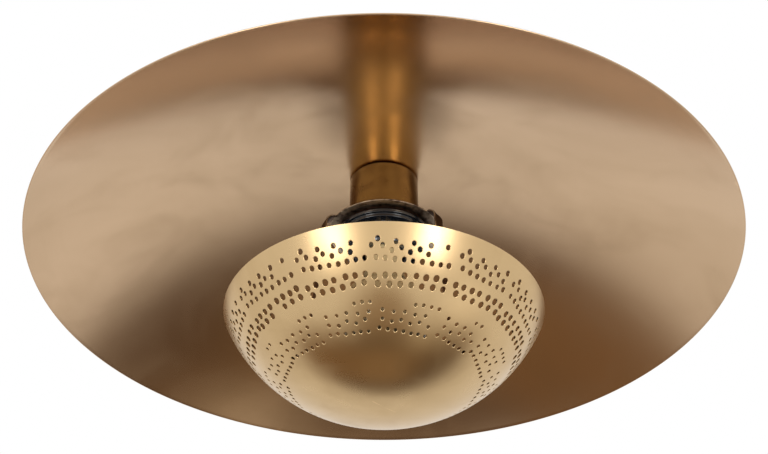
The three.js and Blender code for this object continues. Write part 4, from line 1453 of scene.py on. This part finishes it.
@dataclass
class Spider:
    """Plate and arms, cut from one sheet and bent, that carry the bowl."""

    plate_radius: float = 36.7 * MM
    hole: float = RING_HOLE
    thickness: float = 1.0 * MM
    arms: int = 3
    first_angle: float = 86.0
    width: float = 9.0 * MM
    root_out: float = 0.25 * MM
    root_gap: float = 3.0 * MM
    root_fillet: Pair = (0.9 * MM, 0.8 * MM)
    bend: float = 5.2 * MM
    arm_radius: float = 41.6 * MM
    knee_radius: float = 50 * MM
    foot_radius: float = 63 * MM
    foot_gap: float = 0.8 * MM
    bowl_sphere: float = 112.511 * MM
    bowl_wall: float = 0.9 * MM

    def __post_init__(self) -> None:
        """Works out where the arms leave the plate."""
        self.root = self.plate_radius + self.root_out

    def line(self) -> list[Pair]:
        """Middle line of an arm, from the plate's edge to the end of its foot."""
        _, _, top = sizes_of("spider")
        _, bottom, _ = sizes_of("bowl")
        centre = bottom + self.bowl_sphere
        sphere = self.bowl_sphere - self.bowl_wall - self.foot_gap - self.thickness / 2
        level = top - self.thickness / 2

        def on_wall(reach: float) -> Pair:
            """Place of the foot's middle line at a radius."""
            return (reach, centre - math.sqrt(sphere ** 2 - reach ** 2))

        corners = [
            (self.root - 2 * self.bend, level),
            (self.arm_radius, level),
            on_wall(self.knee_radius),
            on_wall(self.foot_radius),
        ]
        bent = filleted(corners, self.bend, closed=False, steps=10)
        return [(self.root, level), *(p for p in bent if p[0] > self.root + 0.05 * MM)]

    def outline(self) -> list[Pair]:
        """Outline of the flat plate, with the roots of the arms."""
        half = self.width / 2
        edge = math.asin((half + self.root_gap) / self.plate_radius)
        back, aside = self.root - self.root_fillet[0], half + self.root_fillet[1]
        made: list[Pair] = []
        for arm in range(self.arms):
            middle = math.radians(self.first_angle) + TURN * arm / self.arms
            following = middle + TURN / self.arms

            def place(along: float, across: float) -> Pair:
                """Point beside the arm's middle line."""
                turned = Vector((along, across)).to_3d()
                turned.rotate(Matrix.Rotation(middle, 3, "Z"))
                return (turned.x, turned.y)

            start = [place(self.root, -half + self.width * k / 4) for k in range(5)]
            made += [place(back, -aside), *start, place(back, aside)]
            free = (math.degrees(middle + edge), math.degrees(following - edge))
            made += arc((0, 0), self.plate_radius, *free, 40)
        return made

    def plate(self) -> Shape:
        """Upper face of the plate, with its hole left open."""
        _, _, top = sizes_of("spider")
        outer = self.outline()
        inner = arc((0, 0), self.hole, 0, 360, 90)[:-1]
        corners = [Vector(p) for p in (*outer, *inner)]
        n, m = len(outer), len(inner)
        edges = [(i, (i + 1) % n) for i in range(n)] + [(n + i, n + (i + 1) % m) for i in range(m)]
        points, _, faces, *_ = delaunay_2d_cdt(corners, edges, [], INNER_TRIANGLES, WELD)
        rim = self.hole * 1.001
        around = [tuple(face) for face in faces if any(points[i].length > rim for i in face)]
        return Shape([Vector((p.x, p.y, top)) for p in points], around)

    def arm(self) -> Shape:
        """Upper face of an arm along X, with a round end."""
        line = self.line()
        made = Shape()
        for i, (reach, level) in enumerate(line):
            side = beside(line, i) * self.thickness / 2
            left = (Vector(line[-1]) - Vector((reach, level))).length
            end = min(1.0, left / (self.width / 2))
            half = self.width / 2 * max(0.25, math.sqrt(max(0.0, 1 - (1 - end) ** 2)))
            made.points += [Vector((reach + side.x, -half + half * k / 2, level + side.y)) for k in range(5)]
        for i in range(len(line) - 1):
            for a in range(5 * i, 5 * i + 4):
                made.faces.append((a, a + 1, a + 6, a + 5))
        return made

    def build(self) -> None:
        """Builds the spider as one bent sheet."""
        flat, arm = self.plate(), self.arm()
        for k in range(self.arms):
            flat.add(arm, Matrix.Rotation(math.radians(self.first_angle) + TURN * k / self.arms, 4, "Z"))
        piece = show("bent_spider", flat.mesh("bent_spider", 60), BROWNED, "shade", "spider")
        sheet = piece.modifiers.new("sheet", "SOLIDIFY")
        sheet.thickness = self.thickness
        sheet.offset = -1.0
        round_edges(piece, 0.3 * MM, 2, 50)


@dataclass
class ShadeRing:
    """Black threaded ring that clamps the spider, and its fibre washer."""

    radius: float = 31.2 * MM
    step_radius: float = 29.4 * MM
    collar_radius: float = 26.0 * MM
    hole: float = RING_HOLE
    bore: float = 21.0 * MM
    crest: float = 20.55 * MM
    lip: float = 2.4 * MM
    step: float = 2.2 * MM
    slant: float = 1.6 * MM
    ribs: int = 36
    rib_depth: float = 0.5 * MM
    rib_run: float = 0.8 * MM

    def ring(self) -> Shape:
        """The ring: a stepped head over a ribbed collar, threaded inside."""
        _, low, high = sizes_of("shade_ring")
        steps = 8
        sides = self.ribs * steps
        collar_top = high - self.lip - self.step
        collar = self.collar_radius - self.rib_depth
        outline = filleted(
            [
                (self.bore, low), (collar, low), (collar, collar_top - self.slant),
                (self.step_radius, collar_top), (self.step_radius, high - self.lip),
                (self.radius, high - self.lip), (self.radius, high), (self.bore, high),
            ],
            0.5 * MM,
            steps=4,
        )
        rings = []
        for radius, level in outline:
            ring = circle(radius, level, sides)
            if self.bore + 1 * MM < radius < self.collar_radius + 0.1 * MM and level < collar_top:
                ease = min(1.0, (level - low) / self.rib_run)
                for j, point in enumerate(ring):
                    wave = max(0.0, math.cos(TURN * j / steps)) ** 0.7
                    point.xy = point.xy.normalized() * (radius + self.rib_depth * wave * ease)
            rings.append(ring)
        made = loft(rings)
        made.add(lathe([(self.bore, low), outline[0]], sides, closed=False))
        made.add(lathe([outline[-1], (self.bore, high)], sides, closed=False))
        return made.add(threaded(self.bore, self.crest, RING_PITCH, low, high, sides))

    def build(self) -> None:
        """Builds the ring and its washer."""
        show("ribbed_ring", self.ring(), BAKELITE, "ring", "shade_ring", sharp=50)
        show("fibre_washer", washer("ring_washer", self.hole, 0.2 * MM, 2), FIBRE, "clamp", "ring_washer")


@dataclass
class Socket27:
    """Screw socket: a domed cap, a threaded mantle, a ceramic insert and the brass parts in it."""

    cap_radius: float = 20.5 * MM
    cap_wall: float = 2.6 * MM
    cap_round: float = 5.0 * MM
    mantle_radius: float = 20.0 * MM
    mantle_wall: float = 2.8 * MM
    thread_depth: float = 0.45 * MM
    plain_length: float = 20 * MM
    chamfer: float = 0.8 * MM
    mouth: float = 0.6 * MM
    shell_root: float = 13.6 * MM
    shell_crest: float = 14.1 * MM
    shell_wall: float = 0.35 * MM
    shell_hole: float = 6.5 * MM
    disc: float = 5 * MM
    barrier: Pair = (12 * MM, 1.5 * MM)
    screw_offset: float = 9.4 * MM

    def cap(self) -> Shape:
        """The cap over the socket, with a round shoulder."""
        _, low, high = sizes_of("socket_cap")
        inside, under = self.cap_radius - self.cap_wall, high - self.cap_wall
        outer = [(ROD_HOLE, high), (self.cap_radius, high), (self.cap_radius, low)]
        inner = [(inside, low), (inside, under), (ROD_HOLE, under)]
        rounded = filleted(outer, self.cap_round, closed=False, steps=8)
        hollow = filleted(inner, self.cap_round - self.cap_wall, closed=False, steps=4)
        return lathe([*rounded, *hollow])

    def mantle(self) -> Shape:
        """The mantle: threaded outside for the ring, with a stepped bore."""
        _, low, high = sizes_of("socket_mantle")
        _, _, shell_top = sizes_of("thread_shell")
        sides = 96
        radius, root = self.mantle_radius, self.mantle_radius - self.thread_depth
        hollow, bore = radius - self.mantle_wall, self.shell_crest + 0.3 * MM
        thread_low, thread_top = low + self.chamfer, high - self.plain_length
        made = threaded(root, radius, RING_PITCH, thread_low, thread_top, sides)
        outline = [
            (root, thread_top), (radius, thread_top + 0.4 * MM), (radius, high), (hollow, high),
            (hollow, shell_top), (bore, shell_top), (bore, low + self.mouth),
            (bore + self.mouth, low), (radius - 1.0 * MM, low), (root, thread_low),
        ]
        return made.add(lathe(outline, sides, closed=False))

    def insert(self) -> Shape:
        """The ceramic insert with a barrier between its terminals."""
        radius, low, high = sizes_of("socket_insert")
        top = low + self.disc
        outline = filleted([(0, low), (radius, low), (radius, top), (0, top)], 0.5 * MM, closed=False)
        x, y = self.barrier
        return lathe(outline, 72, closed=False).add(block((-x, -y, top - 0.5 * MM), (x, y, high)))

    def shell(self) -> Shape:
        """The brass shell with the bulb's thread rolled into it."""
        _, low, high = sizes_of("thread_shell")
        sides = 96
        edge = high - 0.5 * MM
        outside, inside = self.shell_root + self.shell_wall, self.shell_root - 0.1 * MM
        made = threaded(outside, self.shell_crest, BULB_PITCH, low, edge, sides)
        made.add(threaded(inside, self.shell_root + 0.15 * MM, BULB_PITCH, low, edge, sides))
        made.add(lathe([(inside, low), (outside, low)], sides, closed=False))
        top = [
            (outside, edge), (self.shell_root, high), (self.shell_hole, high),
            (self.shell_hole, edge), (inside, edge),
        ]
        return made.add(lathe(top, sides, closed=False))

    def build(self, nodes: dict[str, bpy.types.Object]) -> None:
        """Builds the socket.

        Args:
            nodes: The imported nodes.
        """
        show("domed_cap", self.cap(), BAKELITE, "canopy", "socket_cap")
        show("threaded_mantle", self.mantle(), BAKELITE, "canopy", "socket_mantle", sharp=50)
        show("ceramic_insert", self.insert(), CERAMIC, "canopy", "socket_insert")
        show("rolled_shell", self.shell(), CONTACT_BRASS, "canopy", "thread_shell", sharp=60)
        dress(nodes, "centre_contact", CONTACT_BRASS)
        for side, place in (("live", -1), ("neutral", 1)):
            dress(nodes, f"{side}_terminal", CONTACT_BRASS, bevel=0.3 * MM)
            _, _, high = sizes_of(f"{side}_terminal_screw")
            mesh = screw(TERMINAL_SCREW, high - TERMINAL_SCREW.head, f"{side}_screw")
            mesh.transform(Matrix.Translation((0, place * self.screw_offset, 0)))
            show(f"{side}_slotted_screw", mesh, CONTACT_BRASS, "canopy", f"{side}_terminal_screw")


@dataclass
class Bulb:
    """Opal globe bulb with its screw cap, contact and filament."""

    ball: float = 30 * MM
    wall: float = 1.2 * MM
    neck: float = 11.9 * MM
    tangent: float = 35.0
    cap_crest: float = 13.1 * MM
    cap_root: float = 12.2 * MM
    thread_levels: Pair = (4.5 * MM, 3 * MM)
    tip_radius: float = 4.6 * MM
    tip_edge: float = 0.5 * MM
    tip_rise: float = 1.1 * MM
    insulator_radii: Pair = (8.6 * MM, 5.4 * MM)
    filament_radius: float = 12 * MM
    coil_radius: float = 0.42 * MM

    def glass(self) -> Shape:
        """The glass: a ball with a hollow curve up to the neck."""
        _, low, high = sizes_of("bulb_glass")
        _, cap_low, _ = sizes_of("bulb_cap")
        centre = low + self.ball

        def side(inset: float) -> list[Pair]:
            """Outline of one face of the glass."""
            ball = arc((0, centre), self.ball - inset, -90, self.tangent, 40)
            start, neck = Vector(ball[-1]), self.neck - inset
            slope = math.tan(math.radians(90 - self.tangent))
            control = Vector((neck, start.y + (start.x - neck) / slope))
            end = Vector((neck, cap_low - 4 * MM))
            curve = [
                start * (1 - t) ** 2 + control * 2 * t * (1 - t) + end * t ** 2
                for t in (k / 16 for k in range(1, 17))
            ]
            return [(0.0, ball[0][1]), *ball[1:], *(tuple(p) for p in curve), (neck, high)]

        return lathe([*side(0), *reversed(side(self.wall))], 128, closed=False)

    def cap(self) -> Shape:
        """The cap with its rolled thread."""
        _, low, high = sizes_of("bulb_cap")
        sides = 96
        thread_low, thread_top = low + self.thread_levels[0], high - self.thread_levels[1]
        made = threaded(self.cap_root, self.cap_crest, BULB_PITCH, thread_low, thread_top, sides)
        skirt = [
            (self.cap_root, thread_low), (12.9 * MM, thread_low - 1.2 * MM),
            (12.9 * MM, low + 0.3 * MM), (12.6 * MM, low), (12.4 * MM, low + 0.3 * MM),
            (12.1 * MM, thread_low), (11.9 * MM, thread_top), (9.0 * MM, high - 0.2 * MM),
            (9.5 * MM, high), (11.2 * MM, high - 1.4 * MM), (self.cap_root, thread_top),
        ]
        return made.add(lathe(skirt, sides, closed=False))

    def insulator(self) -> Shape:
        """The cone between the cap and its contact."""
        _, low, high = sizes_of("cap_insulator")
        wide, narrow = self.insulator_radii
        cone = [(0, low), (wide, low), (wide * 0.98, low + 0.8 * MM), (narrow, high), (0, high)]
        return lathe(filleted(cone, 0.4 * MM, closed=False), 72, closed=False)

    def tip(self) -> Shape:
        """The contact, a low dome of solder."""
        _, low, high = sizes_of("bulb_tip")
        radius, edge = self.tip_radius, low + self.tip_edge
        angles = [math.radians(10 * k) for k in range(9)]
        dome = [(radius * math.cos(a), edge + self.tip_rise * math.sin(a)) for a in angles]
        return lathe([(0, low), (radius, low), *dome, (0, high)], 48, closed=False)

    def stem(self) -> Shape:
        """The glass stem with its flared foot and the bead that holds the wires."""
        _, low, high = sizes_of("bulb_stem")
        corners = [
            (0, high), (10.2 * MM, high), (4.2 * MM, high - 5 * MM), (4.2 * MM, low + 6 * MM),
            (2.2 * MM, low + 2 * MM), (3.4 * MM, low), (0, low),
        ]
        return lathe(filleted(corners, 1.0 * MM, closed=False), 64, closed=False)

    def filament(self) -> Shape:
        """The filament: up one side of the stem, round it and up the other side."""
        _, low, high = sizes_of("filament")
        ends = ((2.3 * MM, 0.66 * MM, high), (2.6 * MM, 0.7 * MM, high - 2 * MM))
        ring = [(x, y, low + 0.5 * MM) for x, y in arc((0, 0), self.filament_radius, 16, 344, 24)]
        path = [*ends, *ring, *((x, -y, z) for x, y, z in reversed(ends))]
        return hose(softened(path, 4), self.coil_radius, 10)

    def build(self) -> None:
        """Builds the bulb."""
        show("opal_globe", self.glass(), OPAL, "bulb", "bulb_glass", sharp=60)
        show("screw_cap", self.cap(), ZINC, "bulb", "bulb_cap", sharp=60)
        show("vitrite_cone", self.insulator(), VITRITE, "bulb", "cap_insulator")
        show("solder_tip", self.tip(), ZINC, "bulb_lead", "bulb_tip")
        show("glass_stem", self.stem(), CLEAR, "bulb", "bulb_stem")
        show("coiled_filament", self.filament(), TUNGSTEN, "bulb", "filament")


@dataclass
class Suspension:
    """Ceiling strap, crossbar, hollow rod, nuts, washers and screws over the dish."""

    strap_length: float = 84 * MM
    strap_width: float = 22 * MM
    strap_thickness: float = 2 * MM
    slot_offset: float = 26 * MM
    slot_length: float = 13 * MM
    slot_width: float = 5.4 * MM
    bar_width: float = 18 * MM
    rod_radius: float = 5 * MM
    rod_bore: float = 3.75 * MM
    rod_root: float = 4.45 * MM
    nut_across: float = 14 * MM
    nut_hole: float = 5.1 * MM
    screw_drop: float = 13 * MM
    screw_hole: float = 2.2 * MM
    block_hole: float = 1.5 * MM
    block_place: Pair = (24 * MM, -2.6 * MM)
    earth_hole: float = 1.8 * MM
    earth_place: Pair = (EARTH_X, 0.0)
    bar_thickness: float = 2 * MM
    fold: float = 2.4 * MM

    def drill(self, radius: float, low: float, high: float, place: Pair = (0.0, 0.0)) -> Shape:
        """Upright drill at a place, from one level to another."""
        pin = lathe([(0, low), (radius, low), (radius, high), (0, high)], 48, closed=False)
        return Shape().add(pin, Matrix.Translation((*place, 0)))

    def side_drill(self) -> Shape:
        """Drill along X for both side screws."""
        across = Matrix.Translation((0, 0, -self.screw_drop)) @ Matrix.Rotation(math.pi / 2, 4, "Y")
        return Shape().add(self.drill(self.screw_hole, -60 * MM, 60 * MM), across)

    def folded(self, end: float, level: float, edge: float) -> list[Pair]:
        """Middle line of a strip at a level, with legs at both ends that reach to an edge."""
        corners = [(-end, edge), (-end, level), (end, level), (end, edge)]
        return filleted(corners, self.fold, closed=False, steps=8)

    def slot(self, side: int, low: float, high: float) -> Shape:
        """Tool for a slot with round ends on one side of the strap, -1 or 1."""
        half, radius = (self.slot_length - self.slot_width) / 2, self.slot_width / 2
        ends = arc((half, 0), radius, -90, 90, 16) + arc((-half, 0), radius, 90, 270, 16)
        made = loft([[Vector((x + side * self.slot_offset, y, z)) for x, y in ends] for z in (low, high)])
        made.faces += [tuple(reversed(range(len(ends)))), tuple(range(len(ends), 2 * len(ends)))]
        return made

    def strap(self) -> bpy.types.Mesh:
        """The ceiling strap with its slots and screw holes."""
        _, low, high = sizes_of("ceiling_strap")
        half = self.strap_thickness / 2
        line = self.folded(self.strap_length / 2 - half, high - half, low)
        tools = [self.slot(side, high - 4 * MM, high + 1 * MM) for side in (-1, 1)]
        sheet = strip(line, self.strap_width, self.strap_thickness)
        return carved(sheet, [*tools, self.side_drill()], "bent_strap", 30)

    def crossbar(self) -> bpy.types.Mesh:
        """The crossbar with its holes."""
        low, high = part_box("crossbar")
        half = self.bar_thickness / 2
        line = self.folded(high.x - half, low.z + half, high.z)
        through = (low.z - 1 * MM, low.z + 3 * MM)
        tools = [
            self.drill(ROD_HOLE, *through),
            self.drill(self.block_hole, *through, self.block_place),
            self.drill(self.earth_hole, *through, self.earth_place),
            self.side_drill(),
        ]
        return carved(strip(line, self.bar_width, self.bar_thickness), tools, "bent_crossbar", 30)

    def rod(self) -> Shape:
        """The hollow rod, threaded from end to end."""
        _, low, high = sizes_of("hollow_rod")
        sides = 64
        root, bore, mouth = self.rod_root, self.rod_bore, 0.3 * MM
        made = threaded(root, self.rod_radius, 1.0 * MM, low, high, sides)
        inner = [(root, high), (bore + mouth, high), (bore, high - mouth), (bore, low), (root, low)]
        return made.add(lathe(inner, sides, closed=False))

    def build(self) -> None:
        """Builds the suspension."""
        show("bent_strap", self.strap(), ZINC, "canopy", "ceiling_strap", bevel=0.3 * MM)
        show("bent_crossbar", self.crossbar(), ZINC, "canopy", "crossbar", bevel=0.3 * MM)
        show("threaded_rod", self.rod(), ZINC, "canopy", "hollow_rod", sharp=60)
        for name in ("upper_nut", "lower_nut", "lock_nut"):
            _, low, high = sizes_of(name)
            show(f"chamfered_{name}", nut(self.nut_across, low, high, self.nut_hole), ZINC, "canopy", name)
        for name in ("dish_washer", "lock_washer"):
            show(f"stamped_{name}", washer(name, ROD_HOLE, 0.25 * MM, 3), ZINC, "canopy", name)
        for side, turn in (("right", 1), ("left", -1)):
            mesh = screw(SIDE_SCREW, 0, f"side_{side}")
            sideways = Matrix.Rotation(turn * math.pi / 2, 4, "Y")
            mesh.transform(sideways @ Matrix.Rotation(0.7 * turn, 4, "Z"))
            seat = (self.strap_length / 2 + 0.3 * MM) * turn
            mesh.transform(Matrix.Translation((seat, 0, -self.screw_drop)))
            show(f"slotted_side_screw_{side}", mesh, ZINC, "canopy", f"side_screw_{side}")


@dataclass
class Wiring:
    """Terminal block, its screws, the earth lug and the lamp's three wires."""

    block_offset: float = 24 * MM
    pitch: float = 5.2 * MM
    clamp_offset: float = 3.5 * MM
    clamp_radius: float = 1.3 * MM
    clamp_length: float = 1.0 * MM
    wire_radius: float = 0.9 * MM
    entry: Pair = (16.7 * MM, 12.7 * MM)
    level: float = -17.2 * MM
    spread: float = 1.6 * MM
    terminal_face: float = 5.8 * MM
    arch: float = 6 * MM

    def grub(self, number: int) -> bpy.types.Mesh:
        """Clamp screw without a head, slotted, with its own turn.

        Args:
            number: The screw's number, from 0.

        Returns:
            The screw's mesh.
        """
        _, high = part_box(f"clamp_screw_{number + 1}")
        radius, low, top = self.clamp_radius, high.z - self.clamp_length, high.z
        outline = filleted([(0, low), (radius, low), (radius, top), (0, top)], 0.15 * MM, closed=False)
        slot = block((-2 * MM, -0.25 * MM, top - 0.5 * MM), (2 * MM, 0.25 * MM, top + 1 * MM))
        made = carved(lathe(outline, 40, closed=False), [slot], f"grub_{number + 1}")
        pole, side = divmod(number, 2)
        place = (self.block_offset + (2 * side - 1) * self.clamp_offset, (pole - 1) * self.pitch, 0)
        made.transform(Matrix.Translation(place) @ Matrix.Rotation(0.5 * number, 4, "Z"))
        return made

    def build(self, nodes: dict[str, bpy.types.Object]) -> None:
        """Builds the wiring.

        Args:
            nodes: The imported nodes.
        """
        dress(nodes, "terminal_block", BLOCK, bevel=0.35 * MM)
        for i in range(6):
            show(f"slotted_clamp_{i + 1}", self.grub(i), ZINC, "canopy", f"clamp_screw_{i + 1}")
        _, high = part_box("block_screw")
        mesh = screw(BLOCK_SCREW, high.z - BLOCK_SCREW.head, "fixing")
        mesh.transform(Matrix.Translation((self.block_offset, -self.pitch / 2, 0)))
        show("slotted_block_screw", mesh, ZINC, "canopy", "block_screw")
        dress(nodes, "earth_lug", CONTACT_BRASS, bevel=0.15 * MM)
        _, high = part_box("earth_screw")
        mesh = screw(EARTH_SCREW, high.z - EARTH_SCREW.head, "earth")
        mesh.transform(Matrix.Translation((EARTH_X, 0, 0)) @ Matrix.Rotation(1.1, 4, "Z"))
        show("slotted_earth_screw", mesh, CONTACT_BRASS, "canopy", "earth_screw")
        for name, pole, side, finish in (("live", -self.pitch, -1, BROWN), ("neutral", 0.0, 1, BLUE)):
            show(f"{name}_insulated_wire", self.mains(pole, side), finish, "canopy", f"{name}_wire")
        show("earth_insulated_wire", self.earth(), GREEN, "canopy", "earth_wire")

    def mains(self, pole: float, side: int) -> Shape:
        """Wire from a pole over the rod's top and down to its terminal.

        Args:
            pole: Place of the pole along Y.
            side: Side of the socket, -1 or 1.

        Returns:
            The wire.
        """
        _, rod_low, rod_top = sizes_of("hollow_rod")
        _, low, top = sizes_of("live_terminal")
        y, face, radius = side * self.spread, side * self.terminal_face, self.wire_radius
        over = rod_top + self.arch
        inside = [rod_top + 3 * MM, rod_top - 3 * MM, (rod_top + rod_low) / 2, rod_low, rod_low - 3 * MM]
        points = [
            *((x, pole, self.level) for x in self.entry),
            (5.9 * MM, (pole + y) / 2, over),
            (1.6 * MM, y, over + 1.6 * MM),
            *((0, y, level) for level in inside),
            (0, y + side * radius, top + radius),
            (0, face - side * radius, (low + top) / 2),
            (0, face, (low + top) / 2),
        ]
        return hose(softened(points), radius)

    def earth(self) -> Shape:
        """Wire from its pole round the rod to the earth lug."""
        _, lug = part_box("earth_lug")
        level, radius = self.level, self.wire_radius
        points = [
            (self.entry[0], self.pitch, level),
            (self.entry[1], self.pitch + radius, level),
            (0, 9 * MM, level),
            (-11 * MM, 6.9 * MM, level),
            (EARTH_X, 6 * MM, level - radius),
            (EARTH_X, 6 * MM, lug.z + 0.3 * MM),
        ]
        return hose(softened(points), radius)


@dataclass(frozen=True)
class Oval:
    """Soft oval of painted reflection colour on the reflection card, in shares of the card's depth under the
    lamp.

    Attributes:
        across: Its middle along X.
        along: Its middle along Y.
        width: Half its width.
        length: Half its length.
        soft: Width of its soft edge as a share of its size.
        color: Its painted reflection colour, or None where it shows what lies under it.
        covers: Whether there is card in it; outside of such ovals the card is clear.
    """

    across: float
    along: float
    width: float
    length: float
    soft: float
    color: Color | None = None
    covers: bool = False


@dataclass(frozen=True)
class SoftBox:
    """Soft box of the studio.

    Attributes:
        name: Its name.
        place: Where it stands.
        size: Its width and height.
        power: Its power in watts.
    """

    name: str
    place: tuple[float, float, float]
    size: Pair
    power: float


@dataclass
class Studio:
    """Pale floor, soft light, a card seen only in reflections and painted with dark and light patches that
    the brass mirrors, and the camera.
    """

    floor_level: float = -3.2
    floor_half: float = 60.0
    lens: float = 62.78
    sensor: float = 36.0
    distance: float = 0.7148
    drop: float = -0.6113
    pitch: float = 37.048
    turn: float = 1.2
    aim: tuple[float, float, float] = (0.0, 0.0, -0.12)
    boxes: tuple[SoftBox, ...] = (
        SoftBox("strip_-1", (-1.2, -1.8, -0.75), (0.65, 1.2), 13.0),
        SoftBox("strip_1", (1.2, -1.8, -0.75), (0.65, 1.2), 13.0),
        SoftBox("window", (0.0, -2.0, -0.75), (2.6, 1.1), 0.7),
        SoftBox("side_window", (1.5, -0.3, -1.4), (0.8, 0.8), 0.6),
    )
    # The card: a sheet under the lamp, seen only in reflections. Its colours are painted reflections, not
    # surroundings that light the lamp.
    card_level: float = -3.0
    card_middle: float = 0.3
    card_radius: float = 1.4
    reflection_base: Color = (0.36, 0.27, 0.19)
    ovals: tuple[Oval, ...] = (
        Oval(0.0, 0.42, 1.15, 0.52, 0.2, (0.225, 0.135, 0.066), covers=True),
        Oval(0.0, -0.15, 0.34, 0.66, 0.4, covers=True),
        Oval(0.48, 0.55, 0.44, 0.34, 0.7, (0.105, 0.065, 0.036)),
        Oval(-0.05, 0.0, 0.36, 0.13, 0.5, (0.15, 0.11, 0.08)),
        Oval(0.0, 0.76, 0.48, 0.19, 0.5, (0.075, 0.04, 0.02)),
        Oval(0.38, 0.04, 0.14, 0.13, 0.5, (0.55, 0.48, 0.38)),
        Oval(0.0, 0.36, 0.24, 0.24, 0.6, (0.34, 0.235, 0.14)),
    )

    def world(self) -> None:
        """White surroundings for the camera and for reflections, softer light for the rest."""
        world = bpy.data.worlds.new("studio")
        bpy.context.scene.world = world
        world.use_nodes = True
        tree = world.node_tree
        tree.nodes.clear()
        seen = eye_or_mirror(tree)
        white = node(tree, "ShaderNodeBackground", {0: (1, 1, 1, 1), 1: 1.0})
        soft = node(tree, "ShaderNodeBackground", {0: (1.0, 0.99, 0.97, 1), 1: 0.7})
        mixed = node(tree, "ShaderNodeMixShader", {0: seen, 1: soft.outputs[0], 2: white.outputs[0]})
        end = node(tree, "ShaderNodeOutputWorld")
        tree.links.new(mixed.outputs[0], end.inputs[0])

    def sheet(
        self, name: str, outline: Sequence[Pair], level: float, build: Callable[[Tree], None]
    ) -> bpy.types.Object:
        """Adds a flat sheet of the studio.

        Args:
            name: Its name.
            outline: Its corners.
            level: Its height.
            build: Function that adds the material's nodes.

        Returns:
            The sheet.
        """
        mesh = bpy.data.meshes.new(name)
        mesh.from_pydata([(x, y, level) for x, y in outline], [], [tuple(range(len(outline)))])
        material = bpy.data.materials.new(name)
        material.use_nodes = True
        build(material.node_tree)
        mesh.materials.append(material)
        made = placed(name, mesh)
        return made

    def pale(self, tree: Tree) -> None:
        """Adds the floor's nodes: pale, near white to the eye and to reflections."""
        shader = tree.nodes["Principled BSDF"]
        grain = effect(tree, Effect.GRAIN, Scale=40.0)["Value"]
        color = blend(tree, grain, (0.86, 0.86, 0.85), (0.82, 0.82, 0.81))
        tree.links.new(color, shader.inputs["Base Color"])
        shader.inputs["Roughness"].default_value = 0.9
        white = node(tree, "ShaderNodeEmission", {0: (1, 1, 1, 1), 1: 1.0}).outputs[0]
        share = calc(tree, "MULTIPLY", eye_or_mirror(tree), 0.8)
        mixed = node(tree, "ShaderNodeMixShader", {0: share, 1: shader.outputs[0], 2: white}).outputs[0]
        tree.links.new(mixed, tree.nodes["Material Output"].inputs["Surface"])

    def painted_reflections(self, tree: Tree) -> None:
        """Adds the card's nodes: painted reflections, dark and light colours in soft ovals, fading out at
        their edges.
        """
        place = node(tree, "ShaderNodeTexCoord").outputs["Object"]
        color: Color | Socket = self.reflection_base
        covers = []
        for oval in self.ovals:
            share = self.oval_mask(tree, place, oval)
            if oval.color:
                color = blend(tree, share, color, oval.color)
            if oval.covers:
                covers.append(share)
        dark = node(tree, "ShaderNodeEmission", {0: color, 1: 1.0}).outputs[0]
        clear = node(tree, "ShaderNodeBsdfTransparent").outputs[0]
        share = calc(tree, "MAXIMUM", *covers)
        mixed = node(tree, "ShaderNodeMixShader", {0: share, 1: clear, 2: dark}).outputs[0]
        tree.links.new(mixed, tree.nodes["Material Output"].inputs["Surface"])

    def oval_mask(self, tree: Tree, place: Socket, oval: Oval) -> Socket:
        """Mask of an oval, 1 inside, with a soft edge.

        Args:
            tree: The card's node tree.
            place: Socket of the coordinates.
            oval: The oval.

        Returns:
            The mask's socket.
        """
        unit = -self.card_level
        middle = (oval.across * unit, oval.along * unit, self.card_level)
        shrink = (1 / (oval.width * unit), 1 / (oval.length * unit), 0.0)
        scaled = vector_math(tree, "MULTIPLY", vector_math(tree, "SUBTRACT", place, middle), shrink)
        return ramp(tree, vector_math(tree, "LENGTH", scaled), 1 + oval.soft, 1 - oval.soft)

    def light(self, box: SoftBox) -> None:
        """Adds a soft box that points at the lamp."""
        light = bpy.data.lights.new(box.name, "AREA")
        light.shape = "RECTANGLE"
        light.size, light.size_y = box.size
        light.energy = box.power
        made = placed(box.name, light)
        made.location = box.place
        made.rotation_euler = (Vector(self.aim) - Vector(box.place)).to_track_quat("-Z", "Y").to_euler()
        made.visible_camera = False

    def camera(self) -> None:
        """Adds the camera, a little to the right of the lamp's front and under it."""
        data = bpy.data.cameras.new("camera")
        data.lens = self.lens
        data.sensor_width = self.sensor
        camera = placed("camera", data)
        turn = Matrix.Rotation(math.radians(self.turn), 4, "Z")
        camera.location = turn @ Vector((0, -self.distance, self.drop))
        camera.rotation_euler = (math.radians(90 + self.pitch), 0, math.radians(self.turn))
        bpy.context.scene.camera = camera

    def build(self) -> None:
        """Builds the studio."""
        self.world()
        half = self.floor_half
        corners = [(-half, -half), (half, -half), (half, half), (-half, half)]
        self.sheet("floor", corners, self.floor_level, self.pale)
        # The card is hidden from the camera, from diffuse light and from shadows, so it only paints
        # reflections on the lamp.
        unit = -self.card_level
        edge = arc((0.0, self.card_middle * unit), self.card_radius * unit, 0, 360, 32)[:-1]
        card = self.sheet("painted_reflection_card", edge, self.card_level, self.painted_reflections)
        card.visible_camera = card.visible_diffuse = card.visible_shadow = False
        for box in self.boxes:
            self.light(box)
        self.camera()
        bpy.context.scene.view_settings.view_transform = "Standard"


def main() -> None:
    """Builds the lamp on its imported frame."""
    logging.basicConfig(level=logging.INFO, format="%(message)s")
    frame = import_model()
    Dish().build()
    Bowl().build()
    Spider().build()
    ShadeRing().build()
    Socket27().build(frame["nodes"])
    Bulb().build()
    Suspension().build()
    Wiring().build(frame["nodes"])
    Studio().build()


if __name__ == "__main__":
    main()
